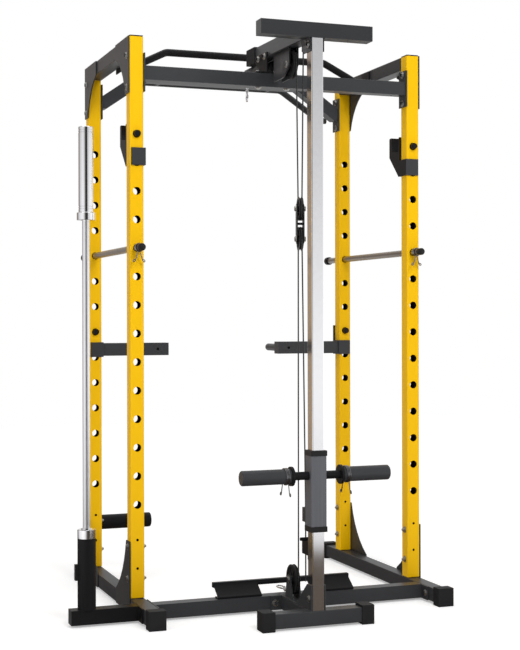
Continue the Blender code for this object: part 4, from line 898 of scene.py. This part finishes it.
def snap_hook(node, start, direction, across, length):
    """A hook of this length. Its proportions are given in parts of that length."""
    start, direction, across = Vector(start), Vector(direction), Vector(across)
    normal = direction.cross(across)
    unit = length / HOOK_PARTS
    crimped = [(0, 0.0001), (0, 0.0040), (0.002, 0.0050), (22 * unit, 0.0050), (24 * unit, 0.0040),
               (24 * unit, 0.0001)]
    ferrule = spun(crimped, start, direction, 20)
    centre = start + direction * (34 * unit)
    eye_points = []
    for step in range(25):
        angle = math.radians(195 + 330 * step / 24)
        eye_points.append(centre + direction * (11 * unit * math.cos(angle))
                          + across * (8 * unit * math.sin(angle)))
    eye = wire("eye", eye_points, EYE_WIRE)
    half = (length - RING_WIRE - 43 * unit) / 2 + 0.001
    ring_centre = start + direction * (length - RING_WIRE - half)
    ring_points = []
    for step in range(40):
        angle = 2 * math.pi * step / 40
        wide = (12.5 + 2.5 * math.cos(angle)) * unit * math.sin(angle)
        ring_points.append(ring_centre + direction * (half * math.cos(angle)) + normal * wide)
    ring = wire("ring", ring_points, RING_WIRE, closed=True)
    gate_place = ring_centre + normal * (12.6 * unit) - direction * (11 * unit)
    gate_outline = [(0, 0.0024), (0.0005, 0.0033), (21 * unit, 0.0033), (22 * unit, 0.0024)]
    gate = spun(gate_outline, gate_place, direction, 16)
    whole = joined([ferrule, eye, ring, gate])
    return finished(whole, f"{node}_snap", CHROME, node[:3] + "_hook", [node])


snap_hook("lat_carabiner", hook_end, (0, 0, -1), (1, 0, 0), 0.060)
snap_hook("row_carabiner", row_end + Vector((0, 0.0003, 0)), (0, 1, 0), (0, 0, 1), 0.100)

# %% [markdown]
# A spring clip keeps the plates on a peg. It is one wire: a few turns round the peg,
# whose two ends hang down in a V and are curled into small loops for the fingers. The
# path is worked out turn by turn and becomes one unbroken wire.

# %% Spring clips
CLIP_WIRE = 0.0018
CLIP_TURNS = 2.88
CLIP_PITCH = 1.35 * 2 * CLIP_WIRE
CLIP_STEPS = 84
SPREAD = 0.30


def curled_end(tip, away, side, radius):
    """A small loop at a wire's end, which starts along the direction away."""
    centre = tip + side * radius
    steps = [math.radians(-300 * step / 14) for step in range(1, 15)]
    return [centre - side * (radius * math.cos(a)) - away * (radius * math.sin(a)) for a in steps]


def spring_clip(node, centre, axis, bore, handle, curl):
    """A clip with this bore and handles this long, on the body of the same name."""
    centre, axis = Vector(centre), Vector(axis)
    radius = bore / 2 + 0.0003 + CLIP_WIRE
    down = Vector((0, 0, -1))
    side = axis.cross(down).normalized()
    path = []
    for step in range(CLIP_STEPS + 1):
        angle = math.pi * 0.12 + 2 * math.pi * CLIP_TURNS * step / CLIP_STEPS
        lift = CLIP_PITCH * CLIP_TURNS * (step / CLIP_STEPS - 0.5)
        path.append(centre + axis * lift + (down * math.cos(angle) + side * math.sin(angle)) * radius)
    first_way = (down + side * SPREAD).normalized()
    last_way = (down - side * SPREAD).normalized()
    reach = handle - 2 * curl
    first_tip, last_tip = path[0] + first_way * reach, path[-1] + last_way * reach
    lead = curled_end(first_tip, first_way, side, curl)
    trail = curled_end(last_tip, last_way, -side, curl)
    points = list(reversed(lead)) + [first_tip, path[0] + first_way * handle * 0.3, *path]
    points += [path[-1] + last_way * handle * 0.3, last_tip, *trail]
    return finished(wire(node, points, CLIP_WIRE), f"{node}_wire", WIRE, node, [node])


PEG_Y, PEG_Z = -0.592317, 0.510
PEG_CLIP_REACH = 0.110
for side, sign in (("left", -1), ("right", 1)):
    peg_clip_place = (TOWER_X + sign * PEG_CLIP_REACH, PEG_Y, PEG_Z)
    spring_clip(f"peg_clip_{side}", peg_clip_place, (sign, 0, 0), 0.051, 0.045, 0.005)
    clip_middle = middle(f"safety_clip_{side}")
    safety_clip_place = (clip_middle.x, clip_middle.y, SAFETY_HOLE)
    spring_clip(f"safety_clip_{side}", safety_clip_place, (0, 1, 0), 0.0245, 0.042, 0.004)
print("clip wires", round(CLIP_WIRE * 2000, 1), "mm thick")

# %% [markdown]
# The rubber caps on the feet, the pull-up bars and the loose safety bars keep the
# frame's shapes. Each is a copy with merged points, whose edges are softened by a bevel
# that suits its stuff: wide on moulded rubber, narrow on bar ends. A spun plug closes
# the tip of each safety bar.

# %% Caps and bars
SAFETY_TIP_START = 0.592
TIP_PLUG = [(0, 0.0001), (0, 0.0095), (0.0012, 0.0118), (0.004, 0.0130), (0.024, 0.0130),
            (0.0245, 0.0120)]
for node in ("rail_cap_near_left", "rail_cap_near_right", "rail_cap_far_left", "rail_cap_far_right",
             "tower_foot_cap_left", "tower_foot_cap_right", "boom_end_cap"):
    cap = flat_copy(node)
    select_edges(cap, burr_edge)
    bevel_selected(cap, 0.0018, 3)
    even_shading(cap)
    finished(cap, f"{node}_rubber", RUBBER, "rack", [node])
welded_piece("far_arch_beam", CHARCOAL)
welded_piece("pull_up_bar_middle", BLACK)
for side in ("left", "right"):
    bar = welded_piece(f"safety_bar_{side}", STEEL, f"safety_bar_{side}", 0)
    partly(bar, BLACK, lambda face: face.center.y > SAFETY_TIP_START)
    bar_low, bar_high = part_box(f"safety_bar_{side}")
    tip = ((bar_low.x + bar_high.x) / 2, bar_low.y - 0.0004, SAFETY_HOLE)
    plug = spun(TIP_PLUG, tip, (0, 1, 0), 28)
    finished(plug, f"safety_bar_{side}_plug", NYLON, f"safety_bar_{side}")
print(len(made), "pieces with the caps and bars")

# %% [markdown]
# The open top of every upright is shut by a thin moulded plug with a rounded rim. It is
# a block whose upper edges are bevelled, and its foot is a smaller block that is pushed
# into the tube.

# %% Plugs in the uprights
def slab(low, high, inset, start, end):
    """A block this much narrower than a tube, between two heights over its top."""
    return cube_between((low.x + inset, low.y + inset, high.z + start),
                        (high.x - inset, high.y - inset, high.z + end))


def tube_plug(name, low, high):
    lid = slab(low, high, 0.0005, 0, 0.003)
    select_edges(lid, standing_edge(0.002))
    bevel_selected(lid, 0.004, 4)
    select_edges(lid, lambda ends, faces: min(ends[0].z, ends[1].z) > high.z + 0.002)
    bevel_selected(lid, 0.0012, 3)
    foot = slab(low, high, 0.0035, -0.012, 0)
    return finished(even_shading(joined([lid, foot])), name, NYLON)


for name in UPRIGHTS:
    tube_plug(f"{name}_plug", *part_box(name))
print(len(made), "pieces so far")

# %% [markdown]
# Where a plate meets a tube, the welder lays a bead along the inner corner. It has a
# ripple every two or three millimetres and is painted over with the rest. The corners are
# found on the frame's own shapes: two faces that face each other at a right angle, with
# nothing close in front of them, which leaves out the insides of the tubes. Each bead is
# a round wire along such a corner, thick and thin by turns.

# %% Weld beads
WELD_RADIUS = 0.0020
RIPPLE = 0.0022
CLEAR_SPACE = 0.13
SHORTEST_WELD = 0.018
WELD_START = 0.001
THIN_RIPPLE = 0.78


def into_face(mesh, face, first, second):
    """The direction that leads from an edge into one of its faces."""
    ring = list(face.vertices)
    if ring[(ring.index(first) + 1) % len(ring)] != second:
        first, second = second, first
    along = mesh.vertices[second].co - mesh.vertices[first].co
    return face.normal.cross(along).normalized()


def weld_corners(node):
    """The free inner corners of a frame node, as pairs of points."""
    copy = flat_copy(node)
    mesh = copy.data
    outlines = [tuple(face.vertices) for face in mesh.polygons]
    hits = BVHTree.FromPolygons([vertex.co for vertex in mesh.vertices], outlines)
    corners = []
    for key, faces in sorted(faces_by_edge(mesh).items()):
        start, end = (mesh.vertices[v].co.copy() for v in key)
        if len(faces) != 2 or (end - start).length < SHORTEST_WELD:
            continue
        if abs(faces[0].normal.dot(faces[1].normal)) > 0.4:
            continue
        if into_face(mesh, faces[1], *key).dot(faces[0].normal) < 0.5:
            continue
        outlook = (faces[0].normal + faces[1].normal).normalized()
        if hits.ray_cast((start + end) / 2 + outlook * 0.001, outlook, CLEAR_SPACE)[0] is None:
            corners.append((start, end))
    bpy.data.objects.remove(copy)
    return corners


def weld_beads(node, material, body="rack"):
    curve = round_curve(f"{node}_welds", WELD_RADIUS, 1)
    corners = weld_corners(node)
    for start, end in corners:
        length = (end - start).length
        steps = max(4, round(length / RIPPLE))
        line = curve.splines.new("POLY")
        line.points.add(steps)
        for step, knot in enumerate(line.points):
            share = WELD_START / length
            knot.co = (*start.lerp(end, share + (1 - 2 * share) * step / steps), 1)
            knot.radius = 1.0 if step % 2 else THIN_RIPPLE
    print(node, len(corners), "welds")
    return finished(smoothed(curve_mesh(curve), 60), f"{node}_welds", material, body)


for node in ("floor_cross_member", "near_top_beam", "far_arch_beam", "boom", "tower_base"):
    weld_beads(node, CHARCOAL)
for node in ("storage_peg", "bar_holder"):
    weld_beads(node, BLACK)
weld_beads("carriage_sleeve", CHARCOAL, "carriage")

# %% [markdown]
# The barbell is a satin shaft with a bright chromed collar at each end and a sleeve that
# turns on it. The top sleeve has fine grooves near its ends. All are spun, with small
# corners.

# %% Barbell
BAR_X, BAR_Y = -0.6273, -0.3053
SHAFT, COLLAR = 0.01275, 0.031
SHAFT_LOW, SHAFT_HIGH = 0.0676, 1.6833
AXIS = 0.0001
shaft_outline = [(SHAFT_LOW, AXIS), (SHAFT_LOW, SHAFT)]
for start, end in ((0.2963, 0.3273), (1.3713, 1.3973)):
    shaft_outline += [(start, SHAFT), (start, COLLAR - 0.001), (start + 0.001, COLLAR),
                      (end - 0.001, COLLAR), (end, COLLAR - 0.001), (end, 0.019),
                      (end + 0.004, 0.0175) if start < 1 else (end, SHAFT), (end + 0.004, SHAFT)]
shaft_outline += [(SHAFT_HIGH, SHAFT), (SHAFT_HIGH, AXIS)]
shaft = spun(shaft_outline, (BAR_X, BAR_Y, 0), sides=48)
finished(shaft, "barbell_shaft_bar", CHROME, "barbell", ["barbell_shaft"])
partly(shaft, SATIN, lambda face:
       math.hypot(face.center.x - BAR_X, face.center.y - BAR_Y) < SHAFT + 0.0005)
print("shaft", round(SHAFT_HIGH - SHAFT_LOW, 3), "m long")


def sleeve(node, closed_at_top, grooves):
    """A tube closed at one end. Grooves are counted up from its foot, or down from its top."""
    low, high = (end.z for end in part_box(node))
    radius, bore, end_wall, corner = 0.025, 0.0135, 0.004, 0.0015
    outline = [(low, radius - corner), (low + corner, radius)]
    for groove in grooves:
        at = groove + (low if groove > 0 else high)
        outline += [(at - 0.0015, radius), (at - 0.0008, radius - 0.0012),
                    (at + 0.0008, radius - 0.0012), (at + 0.0015, radius)]
    outline += [(high - corner, radius), (high, radius - corner)]
    if closed_at_top:
        inside = [(high, AXIS), (high - end_wall, AXIS), (high - end_wall, bore), (low, bore)]
    else:
        inside = [(high, bore), (low + end_wall, bore), (low + end_wall, AXIS), (low, AXIS)]
    tube = spun(outline + inside + [outline[0]], (BAR_X, BAR_Y, 0), sides=48)
    return finished(tube, f"{node}_tube", CHROME, node, [node])


sleeve("barbell_sleeve_top", True, (0.012, 0.020, -0.020, -0.012))
sleeve("barbell_sleeve_low", False, (-0.012,))
print("barbell made, with two sleeves")

# %% [markdown]
# Studio light: white surroundings, one large soft lamp above the camera and two weaker
# ones, from the left and from above. So the faces towards the camera are bright and
# those that look left stay darker. The camera sees the surroundings as white. Metal
# sees what stands round a real studio: a dark side where the photographer is, pale
# walls beside it that grow brighter towards the floor, and a brown wall behind the rack
# on the left. That gives chrome its dark stripe. Colours by direction are here called
# flags, after the cards that a photographer puts up.

# %% World, lamps and floor
AMBIENT = 0.50
WHITE = (1, 1, 1, 1)
FLAGS = [(-1.0, (0.78, 0.78, 0.80)), (-0.86, (0.92, 0.92, 0.94)), (-0.60, (0.72, 0.72, 0.73)),
         (-0.42, (0.25, 0.24, 0.23)), (-0.27, (0.035, 0.034, 0.032)), (0.17, (0.030, 0.030, 0.030)),
         (0.31, (0.70, 0.70, 0.71)), (0.42, (0.72, 0.72, 0.73)), (0.60, (0.76, 0.76, 0.77)),
         (0.85, (1.0, 1.0, 1.0)), (1.0, (1.0, 1.0, 1.0))]
BACK_FLAGS = [(-1.0, (0.45, 0.45, 0.46)), (-0.86, (0.40, 0.39, 0.39)), (-0.58, (0.22, 0.18, 0.15)),
              (-0.30, (0.40, 0.31, 0.25)), (-0.12, (0.80, 0.80, 0.80)), (0.34, (0.80, 0.80, 0.80)),
              (0.60, (0.95, 0.95, 0.96)), (1.0, (1.0, 1.0, 1.0))]
# Start and end of a value, then what it becomes there, as between() takes them.
LIFT = (0.20, -0.04, 0.80, 1.50)
TO_THE_BACK = (0.0, 0.6)
GLOW = (0.8, 5.0, 0.36, 0.56)
# A dark warm colour that metal sees on the floor near the rack: a painted dark reflection.
DARK_REFLECTION = (0.115, 0.092, 0.075, 1)
DARK_REFLECTION_EDGE = (1.97, 2.37)


def ray_is(board, *kinds):
    """1 for rays of any of these kinds."""
    found = 0
    for kind in kinds:
        ray = board.node("ShaderNodeLightPath", output=kind)
        found = ray.maths("MAXIMUM", ray, found)
    return found


def either_shader(board, choice, first, second):
    return board.node("ShaderNodeMixShader", inputs={0: choice, 1: first, 2: second})


def by_ray(board, seen, mirrored, lit):
    """What the camera sees, what shiny things mirror, and what lights all the rest."""
    shiny = ray_is(board, "Is Glossy Ray", "Is Transmission Ray")
    unseen = either_shader(board, shiny, lit, mirrored)
    return either_shader(board, ray_is(board, "Is Camera Ray"), unseen, seen)


def between(board, value, start, end, first=0.0, last=1.0):
    """A value that goes from first to last while another goes from start to end."""
    bounds = {"From Min": start, "From Max": end, "To Min": first, "To Max": last}
    return board.node("ShaderNodeMapRange", inputs={"Value": value, **bounds})


def flag_colours(board, sideways, stops):
    """A colour for each direction sideways, from -1 at the left to 1 at the right."""
    colour = board.node("ShaderNodeValToRGB", inputs={0: between(board, sideways, -1, 1)})
    ramp = colour.socket.node.color_ramp.elements
    for place, shade in stops[1:-1]:
        ramp.new((place + 1) / 2)
    for element, (place, shade) in zip(ramp, stops):
        element.position = (place + 1) / 2
        element.color = (*shade, 1)
    return colour


def flags_by_direction(board, direction):
    """Colours by where a direction points: aside, up or down, forward or back."""
    unit = board.node("ShaderNodeVectorMath", {"operation": "NORMALIZE"}, {0: direction})
    aside, ahead, upward = (board.node("ShaderNodeSeparateXYZ", inputs={0: unit}, output=axis)
                            for axis in "XYZ")
    lift = between(board, upward, *LIFT)
    in_front = board.node("ShaderNodeVectorMath", {"operation": "SCALE"},
                          {0: flag_colours(board, aside, FLAGS), "Scale": lift})
    behind = flag_colours(board, aside, BACK_FLAGS)
    return board.mix(between(board, ahead, *TO_THE_BACK), in_front, behind)


world = bpy.data.worlds.new("studio")
world.use_nodes = True
bpy.context.scene.world = world
sky = Board(world.node_tree)


def background(colour, strength):
    return sky.node("ShaderNodeBackground", inputs={"Color": colour, "Strength": strength})


flags = flags_by_direction(sky, sky.node("ShaderNodeTexCoord", output="Generated"))
studio = by_ray(sky, background(WHITE, 1.0), background(flags, 1.0), background(WHITE, AMBIENT))
sky.feed(sky.tree.nodes["World Output"].inputs["Surface"], studio)


def soft_lamp(name, place, target, size, power, mirrored_too):
    """A square lamp. Chrome would show it as a white patch if it were mirrored too."""
    lamp = bpy.data.lights.new(name, "AREA")
    lamp.shape = "SQUARE"
    lamp.size = size
    lamp.energy = power
    obj = placed(name, lamp)
    obj.matrix_world = looking(place, Vector(target) - Vector(place))
    obj.visible_glossy = mirrored_too
    return obj


soft_lamp("key_lamp", (0.3, -4.2, 3.5), (0.1, 0, 1.2), size=1.8, power=115, mirrored_too=False)
soft_lamp("left_lamp", (-4.8, -1.8, 2.2), (0, 0, 1.0), size=2.0, power=45, mirrored_too=False)
soft_lamp("top_lamp", (-0.3, 0.3, 5.0), (0, 0, 0.5), size=3.0, power=45, mirrored_too=True)

floor = cube_between((-8, -8, -0.05), (8, 8, 0))
floor.name = "studio_floor"
ground = Paint("studio_floor")
floor.data.materials.append(ground.surface(Base_Color=(0.86, 0.86, 0.86, 1), Roughness=0.9))
matt = Field(ground, ground.shader.outputs[0])
spot = ground.place()
distance = ground.node("ShaderNodeVectorMath", {"operation": "LENGTH"}, {0: spot}, "Value")
glow = ground.node("ShaderNodeEmission", inputs={"Color": between(ground, distance, *GLOW)})
lifted = ground.node("ShaderNodeAddShader", inputs={0: matt, 1: glow})
# Within about two metres of the rack, metal mirrors the floor as a dark warm colour, a painted dark
# reflection on the lower chrome. Farther out it mirrors the flags.
mirrored_floor_colour = ground.mix(between(ground, distance, *DARK_REFLECTION_EDGE), DARK_REFLECTION, flags_by_direction(ground, spot))
reflected = ground.node("ShaderNodeEmission", inputs={"Color": mirrored_floor_colour})
surface = ground.tree.nodes["Material Output"].inputs["Surface"]
ground.feed(surface, by_ray(ground, lifted, reflected, matt))
floor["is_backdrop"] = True
bpy.context.scene.view_settings.view_transform = "Standard"
print("lamps and floor ready")

# %% [markdown]
# Last, every frame node that still shows must have a finish, and the dressed rack must
# be no bigger than the frame. The nodes that still show and the dressed rack's box are
# printed here.

# %% Close
left_over = [name for name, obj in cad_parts.items() if not obj.hide_render]
print("nodes still showing:", left_over)
low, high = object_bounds()
print("dressed box", [round(v, 4) for v in low], [round(v, 4) for v in high])
